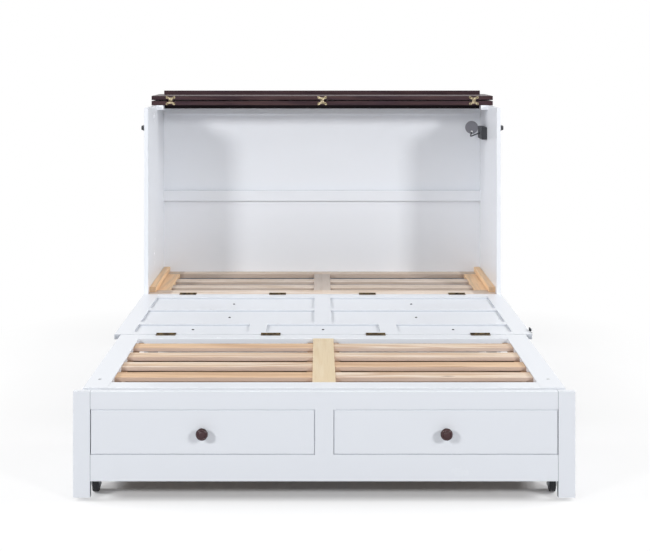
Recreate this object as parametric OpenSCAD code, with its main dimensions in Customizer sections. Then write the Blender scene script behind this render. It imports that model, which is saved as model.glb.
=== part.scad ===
// Queen cabinet bed, opened out for the night, in millimetres.
// +Z is up, +X is to the right as seen from the foot of the bed, and +Y points to the cabinet.
// A shallow chest stands at the back with its lid folded in half on itself. The chest's front
// lies flat as the middle of the bed, a slatted frame is folded out past it, and a wide drawer
// unit on casters has been rolled out of the chest to carry that frame.

/* [Bed] */
// Height of the bed surface above the floor
bed_h = 353; // [344:1:420]
// Outer width across the cabinet's side panels
cabinet_w = 1606; // [1500:2:1700]
// Depth inside the cabinet, from the side panels' front edges to the back panel
inside_d = 581; // [560:1:640]
// Height from the bed surface to the underside of the lid
headroom = 838; // [820:1:900]
// How far the front panel and the drawer unit reach past each side panel
front_lap = 2; // [0:0.5:6]

/* [Cabinet] */
// Thickness of a side panel
side_t = 18; // [15:1:25]
// Thickness of the back panel
back_t = 12; // [8:1:18]
// Height of the upper back rail
top_rail_h = 54; // [30:1:90]
// Height of the middle back rail
mid_rail_h = 52; // [30:1:90]
// Height of the lowest back rail
low_rail_h = 90; // [40:1:140]
// Thickness of the back rails
back_rail_t = 20; // [12:1:26]
// Height of the middle back rail's underside above the bed surface
mid_rail_rise = 353; // [250:1:500]
// Height of the glides under the side panels
glide_h = 8; // [4:1:20]
// Radius of the eased edges of rails and boards
easing = 1.5; // [0.5:0.1:3]

/* [Rear deck] */
// Thickness of the deck's rails and boards
deck_t = 20; // [16:1:24]
// Width of the deck's front rail
deck_front_rail_w = 87; // [60:1:110]
// Width of the deck's back rail
deck_back_rail_w = 72; // [50:1:90]
// Width of the boards along the deck's sides
deck_side_w = 87; // [60:1:120]
// Width of the deck's centre board
deck_centre_w = 77; // [50:1:110]
// Width of a deck slat
deck_slat_w = 75; // [50:1:90]
// Gap between the front rail and the first slat
deck_first_gap = 70; // [50:1:90]
// Distance from one deck slat to the next
deck_slat_pitch = 155; // [120:1:170]
// How far the slats lie below the deck's surface
slat_recess = 3; // [1:0.5:5]
// Width of the battens that carry the deck
ledger_w = 20; // [14:1:24]
// Height of the battens that carry the deck
ledger_h = 30; // [20:1:45]
// Width of the bars that lie on the deck along the side panels
deck_bar_w = 30; // [20:1:45]
// Height of the bars that lie on the deck
deck_bar_h = 24; // [15:1:35]
// Distance from the side panels' front edges to those bars
deck_bar_inset = 43; // [38:1:80]

/* [Lid] */
// Thickness of each half of the lid
lid_t = 20; // [16:1:26]
// How far the lid reaches past each side panel
lid_overhang = 7; // [2:1:20]
// How far the lid reaches past the back panel
lid_back_lap = 3; // [0:1:10]
// Distance from the side panels' front edges back to the closed lid's edge
lid_inset = 1.5; // [1:0.5:5]
// Height of the batten under each half of the lid
lid_strip_h = 18; // [12:1:26]
// Width of the batten under each half of the lid
lid_strip_w = 20; // [14:1:30]
// Distance from the front half's free edge to its batten
lid_strip_inset = 12; // [10:1:20]
// Distance from the rear half's front edge to its batten
lid_rear_strip_set = 60; // [30:1:120]
// Width of the cleats that carry the rear half
lid_cleat_w = 31; // [20:1:45]
// Height of the cleats that carry the rear half
lid_cleat_h = 22; // [15:1:35]
// Half the gap between the folded halves, which is the height of the lid's hinge axis
lid_axis_rise = 2.35; // [2:0.05:4]
// Width of a lid hinge
lid_hinge_w = 44; // [30:1:70]
// Distance from the centre to the outer lid hinges
lid_hinge_x = 720; // [400:1:735]

/* [Front panel] */
// Thickness of the front panel's frame
face_t = 20; // [18:1:26]
// Width of the uprights at its ends and between its fields
face_stile_w = 70; // [45:1:100]
// Width of the rail beside the rear deck
face_rear_rail_w = 75; // [50:1:100]
// Width of its other rails
face_rail_w = 45; // [30:1:70]
// Depth of the small row of fields, seen as the top row when the panel stands up
face_top_row = 134; // [90:1:180]
// Thickness of the backing board of each field
backing_t = 4; // [3:0.5:6]
// How far a backing board enters the frame around it
backing_tongue = 6; // [4:0.5:9]
// Thickness of the false drawer fronts
false_front_t = 8; // [6:0.5:10]
// Gap around each drawer front, false or real
front_gap = 3; // [2:0.5:5]

/* [Folding frame] */
// Thickness of the folding frame
frame_t = 22; // [20:1:24]
// Gap between the folding frame and the cabinet's side panel when it is folded in
frame_side_gap = 5; // [3:0.5:12]
// Width of the frame's side rails
frame_side_w = 80; // [50:1:110]
// Width of its rail beside the front panel
frame_rear_w = 66; // [50:1:100]
// Width of its rail at the foot of the bed
frame_front_w = 70; // [50:1:100]
// Width of its centre board
frame_centre_w = 77; // [50:1:110]
// Number of slats on each side of the centre board
frame_slats = 4; // [3:1:5]
// Width of a slat
frame_slat_w = 70; // [50:1:85]
// Thickness of the slats
slat_t = 14; // [10:1:16]
// How far the folded frame ends short of the lower hinge line
frame_fold_clear = 43; // [30:1:90]
// Width of the ledges that the slats' ends lie on
ledge_w = 20; // [12:1:35]

/* [Fold hinges] */
// Height of the fold axes above the bed surface
axis_rise = 3; // [2.8:0.1:4]
// Radius of a hinge knuckle
knuckle_r = 2.9; // [2.4:0.1:3.4]
// Radius of a hinge pin
pin_r = 1.4; // [1:0.1:1.8]
// Length of a fold hinge
hinge_l = 75; // [50:1:100]
// Radius of the countersunk holes for its screws
screw_head_r = 3.4; // [2.5:0.1:3.8]
// Width of one leaf of a fold hinge
hinge_leaf_w = 21; // [16:1:30]
// Thickness of a hinge leaf
leaf_t = 1.5; // [1:0.1:2]
// Distance from the centre to the inner pair of fold hinges
hinge_x_inner = 202; // [120:1:300]
// Distance from the centre to the outer pair of fold hinges
hinge_x_outer = 605; // [450:1:680]

/* [Drawer unit] */
// Thickness of the drawer unit's front
plate_t = 21; // [18:1:25]
// Depth of the unit behind its front
unit_d = 548; // [450:1:550]
// How far the unit's front ends below the bed surface
plate_drop = 3; // [2:0.5:6]
// Width of the posts at the ends of the front
post_w = 55; // [40:1:80]
// Height of the front's top rail
unit_top_rail_h = 58; // [35:1:80]
// Width of the stile between the drawers
unit_stile_w = 60; // [60:1:90]
// Height of a drawer's front
drawer_front_h = 139; // [110:1:145]
// Height of the unit's underside above the floor
unit_floor_gap = 62; // [58:1:66]
// Gap between the floor and the posts
post_floor_gap = 10; // [4:1:20]
// Thickness of the unit's side, back and middle panels
unit_panel_t = 18; // [15:1:20]
// Gap between the folding frame and the unit's front when the bed is open
unit_front_clear = 13; // [12:0.5:18]

/* [Drawers] */
// Length of a drawer's box behind its front
drawer_box_d = 480; // [440:1:500]
// Thickness of a drawer's sides and back
drawer_side_t = 12; // [9:1:16]
// Thickness of a drawer's bottom
drawer_bottom_t = 5; // [4:0.5:9]
// Height of a drawer's sides
drawer_side_h = 112; // [80:1:125]
// Thickness of a pair of runner members
runner_t = 12.5; // [11:0.5:15]
// Height of the runner fixed in the unit
runner_h = 45; // [30:1:50]
// Length of a runner
runner_l = 450; // [350:1:470]
// Diameter of a knob
knob_d = 39; // [28:1:45]
// How far a knob stands out
knob_l = 33; // [24:1:40]

/* [Casters] */
// Radius of a caster wheel
wheel_r = 25; // [20:0.5:26]
// Width of a caster wheel
wheel_w = 20; // [14:1:24]
// Radius of a caster axle
axle_r = 4; // [3:0.5:6]
// Thickness of a caster bracket
bracket_t = 3; // [2:0.5:4]
// Distance from the unit's front and back to the caster axles
caster_set = 70; // [50:1:120]

/* [Side catches] */
// Distance from the lid's underside down to the catch knobs
catch_drop = 91; // [50:1:230]
// Distance from the side panels' front edges to the catch knobs
catch_set = 28; // [20:1:60]
// Radius of a catch knob where it meets the side panel
catch_r = 17; // [12:0.5:22]
// How far a catch knob stands out
catch_l = 15; // [10:0.5:20]
// Number of flutes round a catch knob's grip
catch_flutes = 9; // [6:1:12]
// Radius of the stud that a catch knob turns on
stud_r = 4; // [3:0.5:6]
// Height of the keeper on the front panel's right edge
keeper_h = 40; // [30:1:50]

/* [Charging box] */
// Length of the charging box along the side panel
box_l = 130; // [90:1:160]
// Height of the charging box
box_h = 59; // [40:1:80]
// How far the charging box stands out from the side panel
box_t = 27; // [20:1:40]
// Distance from the side panels' front edges to the charging box
box_set = 315; // [200:1:380]
// Distance from the lid's underside down to the charging box
box_drop = 105; // [95:1:160]
// Radius of the cable grommet's flange
grommet_r = 32; // [30:0.5:38]
// Distance from the side panel's inner face to the grommet's centre
grommet_inset = 41; // [37:1:46]
// Distance from the lid's underside down to the grommet's centre
grommet_drop = 121; // [116:1:126]
// Thickness of the grommet's flange
grommet_t = 3; // [2:0.5:4]
// Diameter of the power lead
lead_d = 6; // [4:0.5:7]

/* [Hidden] */

white_paint = [0.90, 0.91, 0.93];
dark_stain = [0.25, 0.18, 0.18];
pine = [0.85, 0.76, 0.66];
plywood = [0.84, 0.74, 0.58];
bronze = [0.30, 0.25, 0.14];
brass = [0.72, 0.62, 0.40];
steel = [0.70, 0.71, 0.73];
mahogany = [0.30, 0.15, 0.12];
black_plastic = [0.10, 0.10, 0.12];
grey_plastic = [0.52, 0.52, 0.55];

arc_fn = 48;

// Clearances
touch_gap = 0.3;      // between pieces that pass or rest on each other
run_gap = 0.05;       // between a pin and its bore
knuckle_gap = 0.4;    // between neighbouring knuckles
strip_clear = 8.1;    // between the closed lid's batten and the upright panel's knuckles
shut_gap = 0.5;       // between the drawer unit's front and the side panels' edges when shut
back_foot = 28;       // from the floor to the back panel's lower edge
glide_set = 50;       // from a side panel's ends to its glides

// Heights
lid_z = bed_h + headroom;            // underside of the closed lid
lid_top = lid_z + lid_t;
fold_z = bed_h + axis_rise;          // both fold axes of the bed when it is open
axis_gap = axis_rise;                // from a panel's edge to its fold axis
lid_axis_z = lid_top + lid_axis_rise;
catch_z = lid_z - catch_drop;         // axis of the catch knobs
unit_top = bed_h - frame_t - touch_gap;
plate_top = bed_h - plate_drop;

// Widths
inner_x = cabinet_w / 2 - side_t;    // inner face of a side panel
face_x = cabinet_w / 2 + front_lap;  // end of the front panel and of the drawer unit
frame_x = inner_x - frame_side_gap;
lid_x = cabinet_w / 2 + lid_overhang;

// Lengths along the bed. The part's origin is under the middle of its box.
cabinet_d = inside_d + back_t;
fold_pitch = headroom - lid_strip_h - strip_clear - axis_rise - knuckle_r;
face_l = fold_pitch - 2 * axis_gap;
frame_l = fold_pitch - frame_fold_clear;
open_reach = fold_pitch + axis_gap + frame_l + unit_front_clear + plate_t + knob_l
    - (axis_rise - touch_gap);
front_y = (open_reach - cabinet_d - lid_back_lap) / 2;  // side panels' front edges
deck_axis_y = front_y + axis_rise - touch_gap;
frame_axis_y = deck_axis_y - fold_pitch;
frame_end_y = frame_axis_y - axis_gap - frame_l;
plate_back_y = frame_end_y - unit_front_clear;
plate_y = plate_back_y - plate_t;
unit_travel = front_y - shut_gap - plate_back_y;
back_y = front_y + inside_d;                            // front of the back panel
lid_end_y = front_y + cabinet_d + lid_back_lap;
lid_axis_y = (lid_end_y + front_y + lid_inset) / 2;
lid_gap = lid_axis_rise - 0.05;                         // from the lid's axis to a board's edge
lid_half = lid_end_y - lid_axis_y - lid_gap;

echo(front_y = front_y, deck_axis_y = deck_axis_y, frame_axis_y = frame_axis_y, fold_z = fold_z);
echo(lid_axis_y = lid_axis_y, lid_axis_z = lid_axis_z, unit_travel = unit_travel);
echo(slide_ratio_m_per_rad = unit_travel / 1000 / (PI / 2));

// A rectangle w by h with eased corners
module eased_section(w, h, r) {
    translate([r, 0]) square([w - 2 * r, h]);
    translate([0, r]) square([w, h - 2 * r]);
    for (x = [r, w - r], y = [r, h - r]) translate([x, y]) circle(r = r, $fn = 24);
}

// Boards between two corners, with the edges along X, Y or Z eased
module board_x(low, high, r = easing) {
    s = high - low;
    translate(low) rotate([90, 0, 90]) linear_extrude(s.x) eased_section(s.y, s.z, r);
}

module board_y(low, high, r = easing) {
    s = high - low;
    translate([low.x, high.y, low.z]) rotate([90, 0, 0])
        linear_extrude(s.y) eased_section(s.x, s.z, r);
}

module board_z(low, high, r = easing) {
    s = high - low;
    translate(low) linear_extrude(s.z) eased_section(s.x, s.y, r);
}

// A plain block between two corners
module block(low, high) {
    translate(low) cube(high - low);
}

module both_sides() {
    children();
    mirror([1, 0, 0]) children();
}

// A cylinder along X, centred on a point
module rod_x(at, r, l) {
    translate(at) rotate([0, 90, 0]) cylinder(r = r, h = l, center = true, $fn = arc_fn);
}

// Cabinet

module side_panel(side) {
    knob_at = [side * (cabinet_w / 2 - side_t / 2), front_y + catch_set, catch_z];
    color(white_paint) difference() {
        board_z([min(side * inner_x, side * cabinet_w / 2), front_y, glide_h],
            [max(side * inner_x, side * cabinet_w / 2), front_y + cabinet_d, lid_z]);
        rod_x(knob_at, stud_r + run_gap, side_t + 2);
    }
}

module left_side_panel() {
    side_panel(-1);
}

module right_side_panel() {
    side_panel(1);
}

module back_panel() {
    color(white_paint) difference() {
        block([-inner_x, back_y, back_foot], [inner_x, back_y + back_t, lid_z]);
        translate([grommet_x, back_y - 1, grommet_z]) rotate([-90, 0, 0])
            cylinder(r = sleeve_r + 0.2, h = back_t + 2, $fn = arc_fn);
    }
}

module back_rails() {
    color(white_paint) for (z = [
        [lid_z - top_rail_h, top_rail_h],
        [bed_h + mid_rail_rise, mid_rail_h],
        [back_foot, low_rail_h]
    ]) board_x([-inner_x, back_y - back_rail_t, z[0]], [inner_x, back_y, z[0] + z[1]]);
}

module cabinet_glides() {
    color(black_plastic) both_sides() for (y = [front_y + glide_set, front_y + cabinet_d - glide_set])
        translate([cabinet_w / 2 - side_t / 2, y, 0])
            cylinder(r1 = side_t / 2 - 2, r2 = side_t / 2 - 1, h = glide_h, $fn = arc_fn);
}

// Rear deck

deck_z = bed_h - deck_t;
deck_start_y = deck_axis_y + axis_gap;
deck_side_x = inner_x - deck_side_w;
deck_rear_y = back_y - deck_back_rail_w;
slat_top = bed_h - slat_recess;

module deck_cross_rails() {
    color(pine) {
        board_x([-inner_x, deck_start_y, deck_z], [inner_x, deck_start_y + deck_front_rail_w, bed_h]);
        board_x([-inner_x, deck_rear_y, deck_z], [inner_x, back_y, bed_h]);
    }
}

module deck_side_boards() {
    color(pine) both_sides() board_y([deck_side_x, deck_start_y + deck_front_rail_w, deck_z],
        [inner_x, deck_rear_y, bed_h]);
}

module deck_centre_board() {
    color(plywood) board_y([-deck_centre_w / 2, deck_start_y + deck_front_rail_w, deck_z],
        [deck_centre_w / 2, deck_rear_y, bed_h]);
}

module deck_slats() {
    first_y = deck_start_y + deck_front_rail_w + deck_first_gap;
    color(pine) both_sides() for (y = [first_y : deck_slat_pitch : deck_rear_y - deck_slat_w - 10])
        board_x([deck_centre_w / 2, y, slat_top - slat_t], [deck_side_x, y + deck_slat_w, slat_top]);
}

module deck_battens() {
    color(pine) both_sides() {
        board_y([inner_x - ledger_w, front_y + 15, deck_z - ledger_h],
            [inner_x, back_y - back_rail_t, deck_z]);
        board_y([inner_x - deck_bar_w, front_y + deck_bar_inset, bed_h],
            [inner_x, back_y - 1, bed_h + deck_bar_h], 3);
    }
}

// Lid

module lid_cleats() {
    color(white_paint) both_sides() board_y(
        [inner_x - lid_cleat_w, lid_axis_y + lid_gap, lid_z - lid_cleat_h],
        [inner_x, back_y - back_rail_t, lid_z]);
}

module lid_rear_board() {
    color(dark_stain) board_x([-lid_x, lid_axis_y + lid_gap, lid_z], [lid_x, lid_end_y, lid_top], 3);
}

module lid_rear_strip() {
    y = lid_axis_y + lid_gap + lid_rear_strip_set;
    x = inner_x - lid_cleat_w - 0.5;
    color(dark_stain) board_x([-x, y, lid_z - lid_strip_h], [x, y + lid_strip_w, lid_z]);
}

// The front half lies upside down on the rear half when the bed is open
lid_front_low = lid_axis_z + lid_axis_rise;
lid_front_high = lid_front_low + lid_t - touch_gap;

module lid_front_board() {
    color(dark_stain) board_x([-lid_x, lid_axis_y + lid_gap, lid_front_low],
        [lid_x, lid_axis_y + lid_gap + lid_half, lid_front_high], 3);
}

module lid_front_strip() {
    y = lid_axis_y + lid_gap + lid_half - lid_strip_inset;
    x = inner_x - 2;
    color(dark_stain) board_x([-x, y - lid_strip_w, lid_front_high],
        [x, y, lid_front_high + lid_strip_h]);
}

// Butterfly outline of one lid hinge leaf: a narrow waist at the axis, two wings and a notch
// between them. up is 1 for the leaf above the axis and -1 for the one below.
module butterfly_leaf(up) {
    w = lid_hinge_w;
    h = up * (lid_t - 1);
    half = [[0.17, 0], [0.2, 0.22], [0.47, 0.42], [0.5, 0.55], [0.5, 0.92], [0.44, 1], [0.34, 1],
        [0.14, 0.62]];
    polygon(concat([for (p = half) [p.x * w, p.y * h]],
        [for (k = [len(half) - 1 : -1 : 0]) [-half[k].x * w, half[k].y * h]]));
}

lid_knuckle_r = lid_axis_rise - 0.05;
lid_pin_r = 0.8;
lid_screw_r = 2.6;
wing_screw = [5, 6.7];          // from a leaf's side and the board's far edge to its screws
lid_hinge_xs = [-lid_hinge_x, 0, lid_hinge_x];

// One leaf with its knuckles. The lower leaf has two with the pin, and the upper a bored one.
module lid_leaf(up) {
    step = lid_hinge_w * 0.12;
    leaf_back = 0.3;
    translate([0, lid_gap, up * lid_axis_rise]) rotate([90, 0, 0]) difference() {
        linear_extrude(lid_gap - leaf_back) butterfly_leaf(up);
        for (side = [-1, 1])
            translate([side * (lid_hinge_w / 2 - wing_screw.x), up * (lid_t - wing_screw.y), 0])
                countersink(lid_screw_r, lid_gap - leaf_back);
    }
    difference() {
        for (k = up > 0 ? [0] : [-1, 1]) {
            half = (step - knuckle_gap) / 2;
            rod_x([k * step, 0, 0], lid_knuckle_r, 2 * half);
            block([k * step - half, leaf_back, min(0, up * lid_axis_rise)],
                [k * step + half, lid_gap, max(0, up * lid_axis_rise)]);
        }
        if (up > 0) rod_x([0, 0, 0], lid_pin_r + run_gap, step + 1);
    }
    if (up < 0) rod_x([0, 0, 0], lid_pin_r, 2.5 * step);
}

module lid_rear_hinges() {
    color(brass) for (x = lid_hinge_xs) translate([x, lid_axis_y, lid_axis_z]) lid_leaf(-1);
}

module lid_front_hinges() {
    color(brass) for (x = lid_hinge_xs) translate([x, lid_axis_y, lid_axis_z]) lid_leaf(1);
}

// Fold hinges of the bed. Each has five knuckles: three with the pin on the fixed leaf and two
// bored ones on the moving leaf.

hinge_xs = [-hinge_x_outer, -hinge_x_inner, hinge_x_inner, hinge_x_outer];
hinge_knuckles = 5;

screw_inset = 10.5;             // from a hinge's end to its outer screws

// A countersunk hole through a leaf of thickness t, whose wide end is up
module countersink(r, t) {
    translate([0, 0, -0.01]) cylinder(r1 = r * 0.55, r2 = r, h = t + 0.02, $fn = arc_fn);
}

// dir is 1 for a leaf that lies towards +Y from the axis and -1 for one towards -Y
module fold_leaf(dir, has_pin) {
    step = hinge_l / hinge_knuckles;
    reach = knuckle_r + 0.6;
    plain_w = hinge_leaf_w - reach;
    own = has_pin ? [-2, 0, 2] : [-1, 1];
    difference() {
        union() {
            block([-hinge_l / 2, dir > 0 ? reach : -hinge_leaf_w, -axis_rise],
                [hinge_l / 2, dir > 0 ? hinge_leaf_w : -reach, leaf_t - axis_rise]);
            for (k = own) {
                rod_x([k * step, 0, 0], knuckle_r, step - knuckle_gap);
                block([(k - 0.5) * step + knuckle_gap / 2, dir > 0 ? 0 : -reach - 1, -axis_rise],
                    [(k + 0.5) * step - knuckle_gap / 2, dir > 0 ? reach + 1 : 0, leaf_t - axis_rise]);
            }
        }
        if (!has_pin) rod_x([0, 0, 0], pin_r + run_gap, hinge_l);
        for (k = [-1, 0, 1]) translate([k * (hinge_l / 2 - screw_inset),
            dir * (reach + plain_w * (k == 0 ? 0.64 : 0.44)), -axis_rise]) countersink(screw_head_r, leaf_t);
    }
    if (has_pin) rod_x([0, 0, 0], pin_r, hinge_l - step);
}

module fold_hinges(y, dir, has_pin) {
    color(bronze) for (x = hinge_xs) translate([x, y, fold_z]) fold_leaf(dir, has_pin);
}

module deck_hinges() {
    fold_hinges(deck_axis_y, 1, true);
}

module face_rear_hinges() {
    fold_hinges(deck_axis_y, -1, false);
}

module face_front_hinges() {
    fold_hinges(frame_axis_y, 1, true);
}

module frame_hinges() {
    fold_hinges(frame_axis_y, -1, false);
}

// Front panel, a frame with seven fields. It lies flat, with its inner side up.

face_z = bed_h - face_t;
face_rear_y = deck_axis_y - axis_gap;
face_front_y = face_rear_y - face_l;
field_x = face_x - face_stile_w;                       // half the width between the end stiles
big_row = (face_l - face_rear_rail_w - 3 * face_rail_w - face_top_row) / 2;
// Rows from the rear: far edge of the row, depth and number of fields
row_a_y = face_rear_y - face_rear_rail_w;
row_b_y = row_a_y - big_row - face_rail_w;
row_c_y = row_b_y - big_row - face_rail_w;
rows = [[row_a_y, big_row, 2], [row_b_y, big_row, 2], [row_c_y, face_top_row, 3]];
function field_w(n) = (2 * field_x - (n - 1) * face_stile_w) / n;
// Low corner and size of every field
fields = [for (row = rows) for (k = [0 : row[2] - 1])
    [[-field_x + k * (field_w(row[2]) + face_stile_w), row[0] - row[1]], [field_w(row[2]), row[1]]]];

module backings() {
    for (f = fields) block([f[0].x - backing_tongue, f[0].y - backing_tongue, face_z + false_front_t],
        [f[0].x + f[1].x + backing_tongue, f[0].y + f[1].y + backing_tongue,
            face_z + false_front_t + backing_t]);
}

module face_stiles() {
    color(white_paint) difference() {
        both_sides() board_y([field_x, face_front_y, face_z], [face_x, face_rear_y, bed_h]);
        backings();
    }
}

module face_rails() {
    edges = [[face_rear_y - face_rear_rail_w, face_rear_y], [row_b_y, row_b_y + face_rail_w],
        [row_c_y, row_c_y + face_rail_w], [face_front_y, face_front_y + face_rail_w]];
    color(white_paint) difference() {
        for (e = edges) board_x([-field_x, e[0], face_z], [field_x, e[1], bed_h], 0.8);
        backings();
    }
}

module face_muntins() {
    color(white_paint) difference() {
        for (row = rows) for (k = [1 : row[2] - 1]) {
            x = -field_x + k * (field_w(row[2]) + face_stile_w) - face_stile_w;
            board_y([x, row[0] - row[1], face_z], [x + face_stile_w, row[0], bed_h], 0.8);
        }
        backings();
    }
}

module face_backings() {
    color(white_paint) backings();
}

module false_drawer_fronts() {
    color(white_paint) for (f = fields)
        board_x([f[0].x + front_gap, f[0].y + front_gap, face_z],
            [f[0].x + f[1].x - front_gap, f[0].y + f[1].y - front_gap, face_z + false_front_t]);
}

// Half outline of a turned knob, seat at the origin and standing along +Y
module knob_outline() {
    r = knob_d / 2;
    polygon([[0, 0], [r * 0.46, 0], [r * 0.42, knob_l * 0.12], [r * 0.34, knob_l * 0.3],
        [r * 0.40, knob_l * 0.42], [r * 0.72, knob_l * 0.50], [r * 0.96, knob_l * 0.60],
        [r, knob_l * 0.70], [r * 0.95, knob_l * 0.82], [r * 0.82, knob_l * 0.90],
        [r * 0.66, knob_l * 0.93], [r * 0.60, knob_l * 0.89], [r * 0.54, knob_l * 0.94],
        [r * 0.3, knob_l * 0.985], [0, knob_l]]);
}

module turned_knob() {
    rotate_extrude($fn = arc_fn) knob_outline();
}

function field_middle(f) = f[0] + f[1] / 2;

module face_knobs() {
    color(mahogany) for (f = fields) translate([field_middle(f).x, field_middle(f).y, face_z])
        rotate([180, 0, 0]) turned_knob();
}

module face_knob_screws() {
    color(bronze) for (f = fields)
        translate([field_middle(f).x, field_middle(f).y, face_z + false_front_t + backing_t])
            cylinder(r1 = 5, r2 = 2.5, h = 2.5, $fn = 24);
}

module face_keeper() {
    y = deck_axis_y - (catch_z - fold_z);
    color(steel) {
        board_z([face_x, y - 14, bed_h - keeper_h * 0.75],
            [face_x + 2.5, y + 14, bed_h + keeper_h * 0.25], 1);
        rod_x([face_x + 6.5, y, bed_h - keeper_h * 0.3], 7, 8);
        rod_x([face_x + 6.5, y, bed_h + keeper_h * 0.1], 4, 8);
    }
}

// Folding frame

frame_z = bed_h - frame_t;
frame_rear_y = frame_axis_y - axis_gap;
bay_rear_y = frame_rear_y - frame_rear_w;
bay_front_y = frame_end_y + frame_front_w;
bay_x = frame_x - frame_side_w;
frame_slat_gap = (bay_rear_y - bay_front_y - frame_slats * frame_slat_w) / (frame_slats + 1);

module frame_side_rails() {
    color(white_paint) both_sides()
        board_y([bay_x, frame_end_y, frame_z], [frame_x, frame_rear_y, bed_h]);
}

module frame_cross_rails() {
    color(white_paint) {
        board_x([-bay_x, bay_rear_y, frame_z], [bay_x, frame_rear_y, bed_h]);
        board_x([-bay_x, frame_end_y, frame_z], [bay_x, bay_front_y, bed_h]);
    }
}

module frame_centre_board() {
    color(plywood) board_y([-frame_centre_w / 2, bay_front_y, slat_top - slat_t],
        [frame_centre_w / 2, bay_rear_y, bed_h]);
}

module frame_slats_pine() {
    color(pine) both_sides() for (k = [0 : frame_slats - 1]) {
        y = bay_front_y + frame_slat_gap + k * (frame_slat_w + frame_slat_gap);
        board_x([frame_centre_w / 2, y, slat_top - slat_t], [bay_x, y + frame_slat_w, slat_top]);
    }
}

module frame_ledges() {
    color(white_paint) {
        both_sides() block([bay_x - ledge_w, bay_front_y, frame_z], [bay_x, bay_rear_y, slat_top - slat_t]);
        block([-frame_centre_w / 2 - ledge_w, bay_front_y, frame_z],
            [frame_centre_w / 2 + ledge_w, bay_rear_y, slat_top - slat_t]);
    }
}

// Drawer unit, rolled out under the folding frame

runner_rise = 35;                                      // from a drawer front's lower edge to the runners
front_high = plate_top - unit_top_rail_h;              // underside of the front's top rail
drawer_high = front_high - front_gap;
drawer_low = drawer_high - drawer_front_h;
bottom_rail_high = drawer_low - front_gap;
post_x = face_x - post_w;
unit_x = post_x + 5;                                   // outer face of the unit's side panels
unit_inner_x = unit_x - unit_panel_t;
unit_back_y = plate_back_y + unit_d;
channel_web = 2;                                       // thickness of a channel's web
runner_play = 1.5;                                     // between a channel and the drawer's side
bar_clear = 1;                                         // between a drawer's inner bar and the stile
bar_t = runner_t - channel_web - runner_play;          // how far a bar stands out
box_outer_x = unit_inner_x - runner_t;                 // outer side of the right drawer's box
box_inner_x = unit_stile_w / 2 + bar_t + bar_clear;    // its inner side
runner_z = drawer_low + runner_rise;                   // underside of the runners

module unit_posts() {
    color(white_paint) both_sides()
        board_z([post_x, plate_y, post_floor_gap], [face_x, plate_back_y, plate_top]);
}

module unit_front_rails() {
    stile_x = unit_stile_w / 2;
    color(white_paint) {
        board_x([-post_x, plate_y, front_high], [post_x, plate_back_y, plate_top]);
        board_x([-post_x, plate_y, unit_floor_gap], [post_x, plate_back_y, bottom_rail_high]);
        board_z([-stile_x, plate_y, bottom_rail_high - easing],
            [stile_x, plate_back_y, front_high + easing]);
    }
}

module unit_side_panels() {
    color(white_paint) both_sides() board_y([unit_inner_x, plate_back_y, unit_floor_gap],
        [unit_x, unit_back_y, unit_top]);
}

module unit_back_panel() {
    color(white_paint) board_x([-unit_inner_x, unit_back_y - unit_panel_t, unit_floor_gap],
        [unit_inner_x, unit_back_y, unit_top]);
}

module unit_divider() {
    half = unit_panel_t / 2;
    color(white_paint) {
        board_y([-half, plate_back_y, unit_floor_gap], [half, unit_back_y - unit_panel_t, unit_top]);
        both_sides() block([half, plate_back_y, runner_z], [box_inner_x - runner_t,
            plate_back_y + runner_l, runner_z + runner_h]);
    }
}

// Runner pairs: a channel in the unit and a bar on the drawer that slides in its groove
bar_h = runner_h * 0.6;
bar_short = 8;        // how much a bar ends before its channel
runner_inset = 1;     // from the unit's front to a runner

module channel(x, towards) {
    y = [plate_back_y + runner_inset, plate_back_y + runner_inset + runner_l];
    outer = x + towards * (runner_t - runner_play);
    difference() {
        block([min(x, outer), y[0], runner_z], [max(x, outer), y[1], runner_z + runner_h]);
        web = x + towards * channel_web;
        block([min(web, outer + towards), y[0] - 1, runner_z + (runner_h - bar_h) / 2 - 0.5],
            [max(web, outer + towards), y[1] + 1, runner_z + (runner_h + bar_h) / 2 + 0.5]);
    }
}

module unit_runners() {
    color(steel) both_sides() {
        channel(unit_inner_x, -1);
        channel(box_inner_x - runner_t, 1);
    }
}

module drawer_bars() {
    z = runner_z + (runner_h - bar_h) / 2;
    y = [plate_back_y + 2 * runner_inset, plate_back_y + runner_l - bar_short];
    block([box_inner_x - bar_t, y[0], z], [box_inner_x, y[1], z + bar_h]);
    block([box_outer_x, y[0], z], [box_outer_x + bar_t, y[1], z + bar_h]);
}

// Casters, fixed straight ahead under the ends of the unit's side panels

caster_x = unit_x - unit_panel_t / 2;
caster_ys = [plate_back_y + caster_set, unit_back_y - caster_set];

bracket_l = 44;                                        // length of a bracket's plate

// Side view of a cheek, which narrows from the plate to a round end about the axle
module caster_cheek() {
    end_r = axle_r + 5;
    circle_at = [0, wheel_r];
    translate(circle_at) circle(r = end_r, $fn = arc_fn);
    polygon([[-bracket_l * 0.4, unit_floor_gap - bracket_t], [-end_r, wheel_r], [end_r, wheel_r],
        [bracket_l * 0.4, unit_floor_gap - bracket_t]]);
}

module caster_bracket() {
    half = wheel_w / 2 + 1.5;
    color(steel) {
        board_z([-half - bracket_t, -bracket_l / 2, unit_floor_gap - bracket_t],
            [half + bracket_t, bracket_l / 2, unit_floor_gap], 3);
        for (x = [half, -half - bracket_t]) translate([x, 0, 0]) rotate([90, 0, 90])
            linear_extrude(bracket_t) caster_cheek();
        rod_x([0, 0, wheel_r], axle_r, 2 * half + 2 * bracket_t + 4);
    }
}

module caster_brackets() {
    both_sides() for (y = caster_ys) translate([caster_x, y, 0]) caster_bracket();
}

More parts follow.
